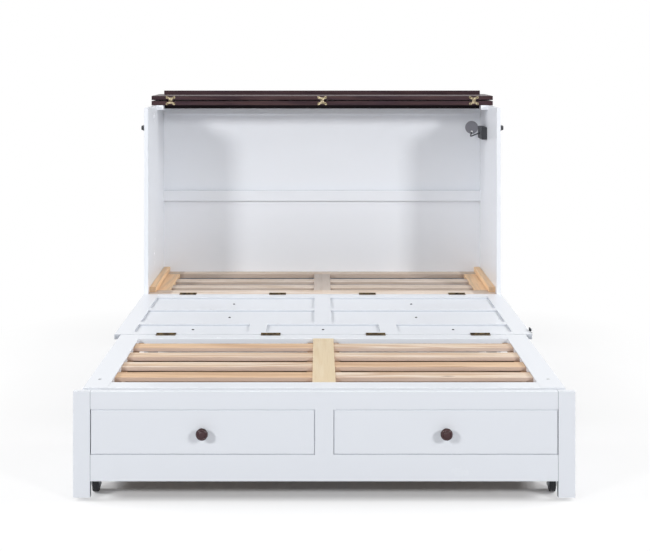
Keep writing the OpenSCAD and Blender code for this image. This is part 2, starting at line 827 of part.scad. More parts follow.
module wheel(x, y) {
    rim = wheel_r - 4;
    hub = axle_r + 5;
    color(black_plastic) translate([x, y, wheel_r]) rotate([0, 90, 0]) rotate_extrude($fn = arc_fn)
        polygon([[axle_r + run_gap, -wheel_w / 2], [hub, -wheel_w / 2], [hub + 1, -wheel_w * 0.3],
            [rim - 1, -wheel_w * 0.3], [rim, -wheel_w / 2], [wheel_r - 1.5, -wheel_w / 2],
            [wheel_r, -wheel_w / 2 + 2], [wheel_r, wheel_w / 2 - 2], [wheel_r - 1.5, wheel_w / 2],
            [rim, wheel_w / 2], [rim - 1, wheel_w * 0.3], [hub + 1, wheel_w * 0.3],
            [hub, wheel_w / 2], [axle_r + run_gap, wheel_w / 2]]);
}

module front_left_wheel() {
    wheel(-caster_x, caster_ys[0]);
}

module front_right_wheel() {
    wheel(caster_x, caster_ys[0]);
}

module rear_left_wheel() {
    wheel(-caster_x, caster_ys[1]);
}

module rear_right_wheel() {
    wheel(caster_x, caster_ys[1]);
}

// Drawers. The right one is drawn, and the left one is its mirror image.

drawer_x = [unit_stile_w / 2 + front_gap, post_x - front_gap];
side_rise = 12;                    // from a drawer front's lower edge to its sides
bottom_rise = 6;                   // from the sides' lower edges to the drawer's bottom
drawer_box_z = drawer_low + side_rise;

module drawer_front() {
    color(white_paint) board_x([drawer_x[0], plate_y, drawer_low], [drawer_x[1], plate_back_y, drawer_high]);
}

module drawer_box() {
    y = [plate_back_y, plate_back_y + drawer_box_d];
    z = [drawer_box_z, drawer_box_z + drawer_side_h];
    t = drawer_side_t;
    color(pine) {
        board_y([box_inner_x, y[0], z[0]], [box_inner_x + t, y[1], z[1]]);
        board_y([box_outer_x - t, y[0], z[0]], [box_outer_x, y[1], z[1]]);
        board_x([box_inner_x + t, y[1] - t, z[0]], [box_outer_x - t, y[1], z[1]]);
        block([box_inner_x + t, y[0], z[0] + bottom_rise],
            [box_outer_x - t, y[1] - t, z[0] + bottom_rise + drawer_bottom_t]);
    }
}

module drawer_knob() {
    color(mahogany) translate([(drawer_x[0] + drawer_x[1]) / 2, plate_y, (drawer_low + drawer_high) / 2])
        rotate([90, 0, 0]) turned_knob();
}

module right_drawer_front() {
    drawer_front();
}

module left_drawer_front() {
    mirror([1, 0, 0]) drawer_front();
}

module right_drawer_box() {
    drawer_box();
}

module left_drawer_box() {
    mirror([1, 0, 0]) drawer_box();
}

module right_drawer_runners() {
    color(steel) drawer_bars();
}

module left_drawer_runners() {
    color(steel) mirror([1, 0, 0]) drawer_bars();
}

module right_drawer_knob() {
    drawer_knob();
}

module left_drawer_knob() {
    mirror([1, 0, 0]) drawer_knob();
}

// Catch knobs on the cabinet's sides, each on a stud that turns in the side panel

module catch_knob() {
    at = [cabinet_w / 2 + touch_gap, front_y + catch_set, catch_z];
    grip_r = catch_r * 0.62;
    color(black_plastic) translate(at) rotate([0, 90, 0]) {
        difference() {
            rotate_extrude($fn = arc_fn) polygon([[0, 0], [catch_r, 0], [catch_r, 2],
                [grip_r, catch_l * 0.5], [grip_r, catch_l - 1.5], [grip_r - 1.2, catch_l], [0, catch_l]]);
            for (k = [0 : catch_flutes - 1]) rotate(k * 360 / catch_flutes)
                translate([grip_r + 1.2, 0, catch_l * 0.5]) cylinder(r = 2, h = catch_l, $fn = 24);
        }
        translate([0, 0, -side_t - touch_gap]) cylinder(r = stud_r, h = side_t + 1, $fn = arc_fn);
    }
}

module right_catch_knob() {
    catch_knob();
}

module left_catch_knob() {
    mirror([1, 0, 0]) catch_knob();
}

// Charging box, grommet and power lead

sleeve_r = grommet_r - 2.7;
lead_r = lead_d / 2;
grommet_x = inner_x - grommet_inset;
grommet_z = lid_z - grommet_drop;

// A tapered sleeve from one point to another
module sleeve(from, to, r_from, r_to) {
    v = to - from;
    translate(from) rotate([0, acos(v.z / norm(v)), atan2(v.y, v.x)])
        cylinder(h = norm(v), r1 = r_from, r2 = r_to, $fn = arc_fn);
}

// The box with the lead's strain relief
module charger_box() {
    x = [inner_x - box_t, inner_x];
    y = [front_y + box_set, front_y + box_set + box_l];
    z = [lid_z - box_drop - box_h, lid_z - box_drop];
    color(black_plastic) {
        board_y([x[0], y[0], z[0]], [x[1], y[1], z[1]], 3);
        sleeve(below_lid(gland_root), below_lid(lead_start[0]), lead_r + 2, lead_r + 0.8);
    }
}

// A flanged sleeve with a closed face that leaves a slot for the lead at its foot
module cable_grommet() {
    slot_h = 12;
    slot_drop = 23;     // from the grommet's centre to its slot
    color(grey_plastic) translate([grommet_x, back_y, grommet_z]) rotate([-90, 0, 0])
        difference() {
            union() {
                translate([0, 0, -grommet_t]) cylinder(r = grommet_r, h = grommet_t, $fn = arc_fn);
                cylinder(r = sleeve_r, h = back_t, $fn = arc_fn);
            }
            cylinder(r = sleeve_r - 1.8, h = back_t + 1, $fn = arc_fn);
            translate([-lead_r - 1.5, slot_drop - slot_h / 2, -grommet_t - 1])
                cube([lead_d + 3, slot_h, grommet_t + 2]);
        }
}

function unit_vector(v) = v / norm(v);
function heading(p, i) = unit_vector(p[min(i + 1, len(p) - 1)] - p[max(i - 1, 0)]);
function square_to(v, t) = unit_vector(v - (v * t) * t);
// A direction carried along a path, so that a swept tube doesn't twist
function carried(p, first) = [for (i = 0, n = square_to(first, heading(p, 0)); i < len(p);
    i = i + 1, n = i < len(p) ? square_to(n, heading(p, i)) : n) n];

// A round tube along the points p
module tube(p, r, sides) {
    n = carried(p, [0.1, 0.2, 1]);
    rings = [for (i = [0 : len(p) - 1]) let (t = heading(p, i), w = cross(t, n[i]))
        for (k = [0 : sides - 1]) p[i] + r * (cos(360 * k / sides) * n[i] + sin(360 * k / sides) * w)];
    walls = [for (i = [0 : len(p) - 2]) for (k = [0 : sides - 1])
        let (a = i * sides + k, b = i * sides + (k + 1) % sides)
        each [[a, a + sides, b + sides], [a, b + sides, b]]];
    last = (len(p) - 1) * sides;
    caps = [for (k = [1 : sides - 2]) each [[0, k, k + 1], [last, last + k + 1, last + k]]];
    polyhedron(rings, concat(walls, caps));
}

// A point between p[i] and p[i + 1] on the smooth curve through all of p
function curve_point(p, i, t) = let (b = p[i], c = p[i + 1],
    a = i > 0 ? p[i - 1] : 2 * b - c, d = i + 2 < len(p) ? p[i + 2] : 2 * c - b)
    0.5 * (2 * b + (c - a) * t + (2 * a - 5 * b + 4 * c - d) * t * t + (3 * b - a - 3 * c + d) * t * t * t);
function smooth(p, steps) = concat([for (i = [0 : len(p) - 2]) for (s = [0 : steps - 1])
    curve_point(p, i, s / steps)], [p[len(p) - 1]]);
function path_length(p) = len(p) < 2 ? 0 : [for (i = 1, s = norm(p[1] - p[0]); i < len(p);
    i = i + 1, s = i < len(p) ? s + norm(p[i] - p[i - 1]) : s) s][len(p) - 2];

// Route of the lead from the charging box through the grommet, down the back and to the coil.
// A point is its distance from the side panel's inner face, its distance back from the front
// edges, and its depth below the lid's underside, or for the drop its height above the floor.
gland_root = [24, 361, 133.5];
lead_start = [[37, 383, 140], [41, 390, 142], [47, 404, 146], [52, 422, 150], [55, 443, 154],
    [57, 465, 157], [57, 488, 159], [55, 511, 158], [51, 532, 155], [46, 552, 150],
    [42, 571, 145], [41, 590, 144], [41, 602, 145], [41, 616, 149], [41, 626, 158],
    [41, 631, 171], [41, 632, 188]];
lead_drop = [[41, 632, 900], [41, 632, 780], [41, 632, 660], [41, 632, 540], [41, 632, 420],
    [41, 632, 300], [41, 632, 180], [41, 632, 110], [41, 632, 60], [43, 632, 38], [50, 632, 20],
    [62, 632, 8], [75, 632, 3], [85, 632, 3]];
coil_at = [91, 668];            // middle of the coil, from the side panel and the front edges
coil_r = 36;                    // radius of the coil's outer turns
coil_step = 7.5;                // from one turn to the next
coil_layer = 6.6;               // from the lower layer to the upper
coil_turns = 1.5;               // turns in each layer
coil_rings = 24;                // rings in each turn
function below_lid(p) = [inner_x - p.x, front_y + p.y, lid_z - p.z];
function above_floor(p) = [inner_x - p.x, front_y + p.y, p.z];
lead_points = concat([for (p = lead_start) below_lid(p)], [for (p = lead_drop) above_floor(p)]);
lead_path = smooth(lead_points, 2);

// Radius and height of the coil after u turns: in, up half a turn, and out again
function coil_radius(u) = u < coil_turns ? coil_r - coil_step * u :
    u < coil_turns + 0.5 ? coil_r - coil_step * coil_turns :
    coil_r - coil_step * coil_turns + coil_step * (u - coil_turns - 0.5);
function coil_height(u) = lead_r + coil_layer * min(1, max(0, 2 * (u - coil_turns)));
coil_end = 2 * coil_turns + 0.5;
coil_exit = coil_r + 2;         // straight run from the coil to the plug
coil_centre = [inner_x - coil_at.x, front_y + coil_at.y, 0];
coil_path = concat([coil_centre + [lead_d, -coil_r, lead_r]],
    [for (k = [0 : coil_end * coil_rings]) let (u = k / coil_rings, a = -90 - 360 * u)
        coil_centre + [coil_radius(u) * cos(a), coil_radius(u) * sin(a), coil_height(u)]],
    [for (k = [1, 2, 3]) coil_centre + [coil_exit * k / 3, coil_r, lead_r + coil_layer]]);
echo(lead_length = path_length(lead_path), coil_length = path_length(coil_path));
// Least gap of the coil to itself, between points at least a third of a turn apart
echo(coil_gap = min([for (i = [0 : len(coil_path) - 1]) for (k = [i + 8 : 1 : len(coil_path) - 1])
    norm(coil_path[i] - coil_path[k])]) - lead_d);

module charger_lead() {
    color(black_plastic) tube(lead_path, lead_r, 8);
}

module lead_coil() {
    color(black_plastic) tube(coil_path, lead_r, 6);
}

// Two-pin plug lying on the floor behind the coil
module lead_plug() {
    body = [30, 20, 18];
    color(black_plastic) translate(coil_centre + [coil_exit, coil_r, lead_r + coil_layer]) {
        rotate([90, 0, 90]) linear_extrude(body.x)
            translate([-body.y / 2, -body.z / 2]) eased_section(body.y, body.z, 4);
        for (side = [-1, 1]) translate([body.x, side * 6.35 - 0.8, -3.2]) cube([17, 1.6, 6.4]);
    }
}

left_side_panel();
right_side_panel();
back_panel();
back_rails();
cabinet_glides();
deck_cross_rails();
deck_side_boards();
deck_centre_board();
deck_slats();
deck_battens();
lid_cleats();
lid_rear_board();
lid_rear_strip();
lid_rear_hinges();
deck_hinges();
charger_box();
cable_grommet();
charger_lead();
lead_coil();
lead_plug();
left_catch_knob();
right_catch_knob();
lid_front_board();
lid_front_strip();
lid_front_hinges();
face_stiles();
face_rails();
face_muntins();
face_backings();
false_drawer_fronts();
face_knobs();
face_knob_screws();
face_rear_hinges();
face_front_hinges();
face_keeper();
frame_side_rails();
frame_cross_rails();
frame_centre_board();
frame_slats_pine();
frame_ledges();
frame_hinges();
unit_posts();
unit_front_rails();
unit_side_panels();
unit_back_panel();
unit_divider();
unit_runners();
caster_brackets();
front_left_wheel();
front_right_wheel();
rear_left_wheel();
rear_right_wheel();
left_drawer_front();
left_drawer_box();
left_drawer_runners();
left_drawer_knob();
right_drawer_front();
right_drawer_box();
right_drawer_runners();
right_drawer_knob();
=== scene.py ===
import math
import bpy
import numpy as np
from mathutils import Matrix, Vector


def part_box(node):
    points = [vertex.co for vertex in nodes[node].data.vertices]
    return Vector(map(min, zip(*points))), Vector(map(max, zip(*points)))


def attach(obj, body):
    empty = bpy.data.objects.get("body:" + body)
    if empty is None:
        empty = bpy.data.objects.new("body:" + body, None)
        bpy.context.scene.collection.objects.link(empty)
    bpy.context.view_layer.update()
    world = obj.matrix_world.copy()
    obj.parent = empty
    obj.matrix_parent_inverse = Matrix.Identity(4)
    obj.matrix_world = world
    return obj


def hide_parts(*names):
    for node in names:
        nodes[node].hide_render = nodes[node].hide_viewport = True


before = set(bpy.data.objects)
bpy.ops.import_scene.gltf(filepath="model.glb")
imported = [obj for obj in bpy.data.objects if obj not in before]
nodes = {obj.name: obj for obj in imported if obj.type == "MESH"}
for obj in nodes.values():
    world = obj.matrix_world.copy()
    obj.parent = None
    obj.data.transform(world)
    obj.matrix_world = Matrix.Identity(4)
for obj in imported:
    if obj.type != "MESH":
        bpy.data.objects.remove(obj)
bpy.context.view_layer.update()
print("frame loaded:", len(nodes), "nodes")


# Colours, nodes and meshes

def colour(hexText):
    # each sRGB channel turned to linear: c / 12.92 below 0.04045, else ((c + 0.055) / 1.055) ^ 2.4
    channel = np.array([int(hexText[k:k + 2], 16) for k in (1, 3, 5)]) / 255
    linear = np.where(channel <= 0.04045, channel / 12.92, ((channel + 0.055) / 1.055) ** 2.4)
    return (*linear.tolist(), 1.0)


def addNode(tree, kind, settings=None, links=None):
    # a capital or a number names a socket, a small letter one of the node's own settings
    node = tree.nodes.new(kind)
    for key, value in (settings or {}).items():
        if isinstance(key, int) or key[0].isupper():
            node.inputs[key].default_value = value
        else:
            setattr(node, key, value)
    for key, source in (links or {}).items():
        tree.links.new(source, node.inputs[key])
    return node


def newMaterial(name, shader):
    material = bpy.data.materials.new(name)
    material.use_nodes = True
    tree = material.node_tree
    tree.nodes.clear()
    surface = addNode(tree, "ShaderNodeBsdfPrincipled", shader)
    addNode(tree, "ShaderNodeOutputMaterial", links={"Surface": surface.outputs[0]})
    coords = addNode(tree, "ShaderNodeTexCoord").outputs["Object"]
    return material, tree, surface, coords


def wired(tree, kind, settings, values):
    # outputs of other nodes are linked to the node's sockets, and plain values are set on them
    links = {key: value for key, value in values.items() if isinstance(value, bpy.types.NodeSocket)}
    plain = {key: value for key, value in values.items() if key not in links}
    return addNode(tree, kind, settings | plain, links).outputs


def maths(tree, operation, *values):
    return wired(tree, "ShaderNodeMath", {"operation": operation}, dict(enumerate(values)))[0]


def vectorMaths(tree, operation, *values):
    # gives all outputs, since a length or a dot product comes out as "Value"
    return wired(tree, "ShaderNodeVectorMath", {"operation": operation}, dict(enumerate(values)))


def mixed(tree, amount, low, high):
    # low where amount is 0 and high where it is 1; either may be a colour in hex
    low, high = (colour(tone) if isinstance(tone, str) else tone for tone in (low, high))
    return wired(tree, "ShaderNodeMix", {"data_type": "RGBA"}, {0: amount, 6: low, 7: high})[2]


def ranged(tree, value, start=(0.0, 1.0), end=(0.0, 1.0)):
    # start is laid onto end in a straight line, and held beyond both
    return wired(tree, "ShaderNodeMapRange", {}, {
        "Value": value, "From Min": start[0], "From Max": start[1],
        "To Min": end[0], "To Max": end[1]})[0]


def noise(tree, where, scale, detail, roughness=0.5):
    settings = {"Scale": scale, "Detail": detail, "Roughness": roughness}
    return addNode(tree, "ShaderNodeTexNoise", settings, {"Vector": where}).outputs[0]


def separated(tree, vector):
    return addNode(tree, "ShaderNodeSeparateXYZ", links={"Vector": vector}).outputs


def finishSurface(tree, surface, s, variation, height, depth, tone=None):
    # the roughness follows one pattern and the bumps another, whose full height is depth metres
    bump = addNode(tree, "ShaderNodeBump", {"Strength": s["bump"], "Distance": depth},
                   {"Height": height})
    tree.links.new(ranged(tree, variation, end=s["rough"]), surface.inputs["Roughness"])
    tree.links.new(bump.outputs[0], surface.inputs["Normal"])
    if tone is not None:
        tree.links.new(tone, surface.inputs["Base Color"])


def makePiece(name, points, faces, material, body, slot, smooth=True):
    mesh = bpy.data.meshes.new(name)
    mesh.from_pydata(points.tolist(), [], faces)
    mesh.polygons.foreach_set("use_smooth", np.full(len(mesh.polygons), smooth))
    mesh.materials.append(material)
    mesh.update()
    piece = bpy.data.objects.new(name, mesh)
    bpy.context.scene.collection.objects.link(piece)
    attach(piece, body)
    return piece


def gridFaces(rows, columns):
    # quads between neighbouring points of a grid whose columns close on themselves
    row, column = np.meshgrid(np.arange(rows - 1), np.arange(columns), indexing="ij")
    after = (column + 1) % columns
    quads = np.stack([row * columns + column, row * columns + after,
                      (row + 1) * columns + after, (row + 1) * columns + column], -1)
    return quads.reshape(-1, 4).tolist()


def closedFaces(rows, columns):
    # such quads, and triangles from the first and the last row to two points after the grid's own
    around = np.arange(columns)
    after = (around + 1) % columns
    count, last = rows * columns, (rows - 1) * columns
    start = np.stack([np.full(columns, count), after, around], -1)
    end = np.stack([np.full(columns, count + 1), last + around, last + after], -1)
    return gridFaces(rows, columns) + start.tolist() + end.tolist()


def torusFaces(rows, columns):
    # quads of a grid whose rows close on themselves as well
    return (np.array(gridFaces(rows + 1, columns)) % (rows * columns)).tolist()


def turned(profile, steps, wave=None):
    # a profile of (radius, height) turned about the height axis: x = r cos a, y = r sin a; the two
    # ends are closed to a point. wave(a, r, h) gives a factor for the radius, such as flutes
    profile = np.asarray(profile, float)
    angle = np.linspace(0, 2 * np.pi, steps, endpoint=False)
    radius, turn = np.meshgrid(profile[:, 0], angle, indexing="ij")
    height = np.repeat(profile[:, 1:2], steps, 1)
    if wave:
        radius = radius * wave(turn, radius, height)
    ring = np.stack([radius * np.cos(turn), radius * np.sin(turn), height], -1).reshape(-1, 3)
    ends = np.array([[0, 0, profile[0, 1]], [0, 0, profile[-1, 1]]])
    return np.concatenate([ring, ends]), closedFaces(len(profile), steps)


def smoothLine(points, steps):
    # a Catmull-Rom curve in two or three axes: each stretch is a cubic of its two ends and their
    # two neighbours
    p = np.asarray(points, float)
    padded = np.concatenate([[2 * p[0] - p[1]], p, [2 * p[-1] - p[-2]]])
    t = (np.arange(steps) / steps)[None, :, None]
    a, b, c, d = (padded[k:len(p) - 1 + k][:, None] for k in range(4))
    curve = 0.5 * (2 * b + (c - a) * t + (2 * a - 5 * b + 4 * c - d) * t ** 2
                   + (3 * b - a - 3 * c + d) * t ** 3)
    return np.concatenate([curve.reshape(-1, p.shape[1]), p[-1:]])


def swept(path, radii, sides):
    # a ring of each radius stands square to the path; its first side is carried along untwisted
    radii = np.broadcast_to(radii, len(path))[:, None, None]
    tangent = np.gradient(path, axis=0)
    tangent /= np.linalg.norm(tangent, axis=1)[:, None]
    side = np.empty_like(path)
    current = np.array([0.1, 0.2, 1.0])
    for k, direction in enumerate(tangent):
        current = current - current @ direction * direction
        current /= np.linalg.norm(current)
        side[k] = current
    other = np.cross(tangent, side)
    turn = np.linspace(0, 2 * np.pi, sides, endpoint=False)[None, :, None]
    ring = path[:, None] + radii * (np.cos(turn) * side[:, None] + np.sin(turn) * other[:, None])
    return np.concatenate([ring.reshape(-1, 3), path[:1], path[-1:]]), closedFaces(len(path), sides)


def joined(parts):
    # several (points, faces) as one
    points, faces, start = [], [], 0
    for p, f in parts:
        points.append(p)
        faces += [[v + start for v in face] for face in f]
        start += len(p)
    return np.concatenate(points), faces


def placed(shape, centre, along, spin=0.0):
    # turns the shape's own height axis to point along a direction, then moves it to centre
    points, faces = shape
    z = np.asarray(along, float) / np.linalg.norm(along)
    x = np.cross([0, 1, 0] if abs(z[1]) < 0.9 else [1, 0, 0], z)
    x /= np.linalg.norm(x)
    y = np.cross(z, x)
    c, s = math.cos(spin), math.sin(spin)
    axes = np.array([c * x + s * y, c * y - s * x, z])
    return points @ axes + np.asarray(centre, float), faces


def ringed(loop, steps, shape=None):
    # a closed outline of (radius, height) turned about the height axis: x = r cos a, y = r sin a.
    # shape(a, r, h) may return other heights, such as hollows between spokes
    turn = np.repeat(np.linspace(0, 2 * np.pi, steps, endpoint=False)[None], len(loop), 0)
    radius, height = (np.repeat(loop[:, k:k + 1], steps, 1) for k in (0, 1))
    if shape:
        height = shape(turn, radius, height)
    points = np.stack([radius * np.cos(turn), radius * np.sin(turn), height], -1).reshape(-1, 3)
    return points, torusFaces(len(loop), steps)


# Camera

camera = {"place": (-0.020, -5.036, 1.425), "lens": 68.34, "sensor": 36, "shift": (0.0108, -0.3377)}
viewer = bpy.data.objects.new("camera", bpy.data.cameras.new("camera"))
bpy.context.scene.collection.objects.link(viewer)
viewer.location = camera["place"]
viewer.rotation_euler = (math.pi / 2, 0, 0)
viewer.data.sensor_width = camera["sensor"]
viewer.data.lens = camera["lens"]
viewer.data.shift_x, viewer.data.shift_y = camera["shift"]
bpy.context.scene.camera = viewer
print("camera set")


# Finishes

# how high full bumps stand, in metres
bumpDepths = {"wood": 0.0006, "paint": 0.0002, "metal": 0.0002, "plastic": 0.0003}
# a face looks squarely along a direction if the cosine of the angle between them is above this
squarely = 0.7

# what all woods share: how far each pattern is drawn out along the grain (the less, the longer), the
# scale of rings and knots, how sharp a ring is, how far the patterns move from board to board, what is
# added to the numbers of the boards on the right, which levels of the noises make streaks, fibres and
# knots, and how strong each darker tone gets
grain = {
    "rings": 0.06, "fibres": 0.025, "streaks": 0.09, "knots": 0.45, "ringScale": 0.22, "knotScale": 4.2,
    "ringPower": 2.2, "shift": 3.0, "rightBoards": 17.0, "streakLevels": (0.32, 0.68),
    "fibreLevels": (0.5, 0.75), "knotLevel": 0.02, "knotShare": 0.8, "plyShare": 0.55, "endShare": 0.6,
    "edgeShadeShare": 0.7, "endShadeShare": 0.35, "endShadeLength": 0.012, "endShadeFray": 0.02, "ringRelief": 0.4}


def woodFinish(name, s):
    # growth rings are the contour lines of a noise stretched along the grain: sin(2 pi n count);
    # fibres are a finer noise stretched further. A board's own tone comes from its number, which
    # is how many pitches it lies from the first. The ends across the grain take the end tone: darker
    # end grain in pine and walnut, and a lighter face on the knobs, which is painted light
    material, tree, surface, coords = newMaterial(name, {
        "IOR": 1.5, "Specular IOR Level": s.get("specular", 0.5),
        "Coat Weight": s.get("coat", 0.0), "Coat Roughness": s.get("coatRough", 0.3)})
    axis = "xyz".index(s["along"])
    split = separated(tree, coords)
    onRight = maths(tree, "GREATER_THAN", split["X"], 0.0)
    fromFirst = maths(tree, "SUBTRACT", split[s.get("boardsAlong", "y").upper()], s["boards"][0])
    board = maths(tree, "FLOOR", maths(tree, "DIVIDE", fromFirst, s["boards"][1]))
    number = maths(tree, "ADD", board, maths(tree, "MULTIPLY", onRight, grain["rightBoards"]))
    own = addNode(tree, "ShaderNodeTexWhiteNoise", {"noise_dimensions": "1D"}, {"W": number}).outputs
    shift = addNode(tree, "ShaderNodeVectorMath", {"operation": "SCALE", "Scale": grain["shift"]},
                    {0: own["Color"]}).outputs[0]

    def stretched(amount):
        scale = [1.0, 1.0, 1.0]
        scale[axis] = amount
        links = {"Vector": coords, "Location": shift}
        return addNode(tree, "ShaderNodeMapping", {"Scale": scale}, links).outputs[0]

    def weakened(pattern, share):
        return maths(tree, "MULTIPLY", pattern, share)

    rings = noise(tree, stretched(grain["rings"]), grain["ringScale"] / s["ring"], 2.0, 0.4)
    wave = maths(tree, "SINE", maths(tree, "MULTIPLY", rings, 2 * math.pi * s["ringCount"]))
    lines = maths(tree, "POWER", maths(tree, "MULTIPLY_ADD", wave, 0.5, 0.5), grain["ringPower"])
    fibres = noise(tree, stretched(grain["fibres"]), 1 / s["fibre"], 3.0, 0.6)
    streaks = noise(tree, stretched(grain["streaks"]), 1 / s["streak"], 2.0)
    tone = mixed(tree, ranged(tree, streaks, grain["streakLevels"]), s["light"], s["warm"])
    if s.get("warmth"):
        # how warm each slat is, listed: the left half from the front backwards, then the right
        count = len(s["warmth"])
        place = maths(tree, "MULTIPLY_ADD", onRight, count / 2, maths(tree, "ADD", board, 0.5))
        place = maths(tree, "DIVIDE", place, float(count))
        picks = addNode(tree, "ShaderNodeValToRGB", links={0: place})
        picks.color_ramp.interpolation = "CONSTANT"
        for k, level in enumerate(s["warmth"]):
            stop = picks.color_ramp.elements.new(k / count) if k else picks.color_ramp.elements[0]
            stop.color = (level, level, level, 1)
        tone = mixed(tree, picks.outputs[0], tone, s["other"])
    else:
        tone = mixed(tree, weakened(own["Value"], s["boardMix"]), tone, s["other"])
    tone = mixed(tree, weakened(lines, s["ringMix"]), tone, s["dark"])
    fibrous = ranged(tree, fibres, grain["fibreLevels"], (0.0, s["fibreMix"]))
    tone = mixed(tree, fibrous, tone, s["deep"])
    if s.get("knots"):
        spots = addNode(tree, "ShaderNodeTexVoronoi", {"Scale": grain["knotScale"], "Randomness": 1.0},
                        {"Vector": stretched(grain["knots"])}).outputs[0]
        knots = ranged(tree, spots, (grain["knotLevel"], s["knots"]), (grain["knotShare"], 0.0))
        tone = mixed(tree, knots, tone, s["knot"])
    facing = separated(tree, tree.nodes["Texture Coordinate"].outputs["Normal"])
    if s.get("plies"):
        # the layers of plywood show on its sides: every other one is darker
        layer = maths(tree, "FRACT", maths(tree, "DIVIDE", split["Z"], s["plies"]))
        sides = maths(tree, "LESS_THAN", maths(tree, "ABSOLUTE", facing["Z"]), 0.5)
        darker = maths(tree, "MULTIPLY", maths(tree, "GREATER_THAN", layer, 0.5), sides)
        tone = mixed(tree, weakened(darker, grain["plyShare"]), tone, s["dark"])
    else:
        cut = maths(tree, "GREATER_THAN", maths(tree, "ABSOLUTE", facing["XYZ"[axis]]), squarely)
        tone = mixed(tree, weakened(cut, grain["endShare"]), tone, s["end"])
    if s.get("edge"):
        # the sides of a board that face along Y, front and back, take the edge tone: painted shade, as
        # on the front faces of the slats
        shadedEdgeways = maths(tree, "GREATER_THAN", maths(tree, "ABSOLUTE", facing["Y"]), squarely)
        tone = mixed(tree, weakened(shadedEdgeways, grain["edgeShadeShare"]), tone, s["edge"])
    if s.get("shadedEnds"):
        # the ends of each slat are painted browner, as the shade cast on them by the rails and the
        # centre board, with a frayed border
        fray = weakened(fibres, grain["endShadeFray"])
        reach = maths(tree, "ADD", maths(tree, "ABSOLUTE", split["X"]), fray)
        paintedEndShade = ranged(tree, reach, (s["shadedEnds"] - grain["endShadeLength"], s["shadedEnds"]),
                       (0.0, grain["endShadeShare"]))
        tone = mixed(tree, paintedEndShade, tone, s["knot"])
    relief = maths(tree, "MULTIPLY_ADD", lines, grain["ringRelief"], fibres)
    finishSurface(tree, surface, s, fibres, relief, bumpDepths["wood"], tone)
    return material


# planed pine, unvarnished: pale matt wood with tan latewood lines and a few knots
pineTones = {
    "light": "#EADFD3", "warm": "#E0CBB4", "other": "#D9BFA2", "dark": "#CDB296", "deep": "#B99C80",
    "end": "#B4967A", "knot": "#7E5C42", "ring": 0.02, "ringCount": 7.0, "fibre": 0.004,
    "streak": 0.016, "boardMix": 0.8, "ringMix": 0.5, "fibreMix": 0.45, "rough": (0.55, 0.75),
    "bump": 0.35, "knots": 0.05, "boards": (-10.0, 0.1)}
slatPitch = 0.1394
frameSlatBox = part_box("frame_slats_pine")
# the frame's slats: their front and back faces and their ends carry painted shade
slatPine = woodFinish("planed_pine_slats", pineTones | {
    "along": "x", "light": "#EDE3D8", "warm": "#E3CDB4", "other": "#DDB994", "dark": "#C09A7C",
    "deep": "#A5835F", "edge": "#D6BFB3", "ringMix": 0.7, "fibreMix": 0.75, "knots": 0.065,
    "boards": (frameSlatBox[0].y - slatPitch / 4, slatPitch), "shadedEnds": frameSlatBox[1].x,
    "warmth": (0.95, 0.25, 0.35, 0.85, 0.2, 0.85, 0.3, 0.15)})
# the deck's slats: their front and back faces and their ends carry painted shade
deckPine = woodFinish("planed_pine_deck", pineTones | {
    "along": "x", "light": "#F2E6DC", "warm": "#EADACA", "other": "#E4D2C0", "edge": "#B4A296",
    "boards": (0.60, 0.155), "shadedEnds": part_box("deck_slats")[1].x})
lengthwisePine = woodFinish("planed_pine_lengthwise", pineTones | {
    "along": "y", "light": "#FBE0BC", "warm": "#F5CFA4", "other": "#F0C698", "boards": (-5.0, 0.4),
    "boardsAlong": "z"})
# the ledges under the slats are rough-sawn and brown, and their brown also paints the shade at the ends
# of the gaps
sawnPineAndShade = woodFinish("rough_sawn_pine_ledges_with_painted_shade", pineTones | {
    "along": "y", "light": "#A58466", "warm": "#957558", "other": "#8D6D50", "dark": "#75563D",
    "deep": "#654832", "boards": (-5.0, 20.0), "bump": 0.6})
drawerPine = woodFinish("planed_pine_drawer_boxes", pineTones | {
    "along": "y", "boards": (-0.9, 0.12), "boardsAlong": "x", "knots": 0.03})
# sanded birch plywood: an even pale face with fine fibres, and its layers show along the edges
birchTones = pineTones | {
    "along": "y", "light": "#E6D6BB", "warm": "#DFCAA8", "other": "#DDCAA9", "dark": "#CFB48E",
    "deep": "#C8AD88", "ring": 0.05, "ringCount": 4.0, "ringMix": 0.35, "fibreMix": 0.3, "knots": None,
    "plies": 0.0028, "boards": (-9.0, 20.0)}
plywood = woodFinish("sanded_birch_plywood", birchTones)
# the deck's board is older stock, gone grey
greyPlywood = woodFinish("weathered_birch_plywood", birchTones | {
    "light": "#D8CCC2", "warm": "#CFBFB2", "other": "#D0C2B6", "dark": "#BBA999", "deep": "#B5A494"})
# walnut stain under satin lacquer: nearly black brown, with lighter streaks and open pores
walnutTones = {
    "along": "x", "light": "#43343A", "warm": "#54403F", "other": "#3C2E33", "dark": "#2E2227",
    "deep": "#22181C", "end": "#2A1E22", "ring": 0.012, "ringCount": 6.0, "fibre": 0.0025,
    "streak": 0.016, "boardMix": 0.4, "ringMix": 0.5, "fibreMix": 0.55, "rough": (0.24, 0.34),
    "bump": 0.2, "boards": (-9.0, 20.0), "specular": 0.02}
walnutStain = woodFinish("walnut_stained_board", walnutTones)
# the batten under the lid is darker than the boards: a darker stain, and painted shade under the lid's
# overhang
walnutStainAndShade = woodFinish("walnut_stained_batten_with_painted_shade", walnutTones | {
    "light": "#241D21", "warm": "#2C2428", "other": "#221C20", "dark": "#1A1518", "deep": "#141013"})
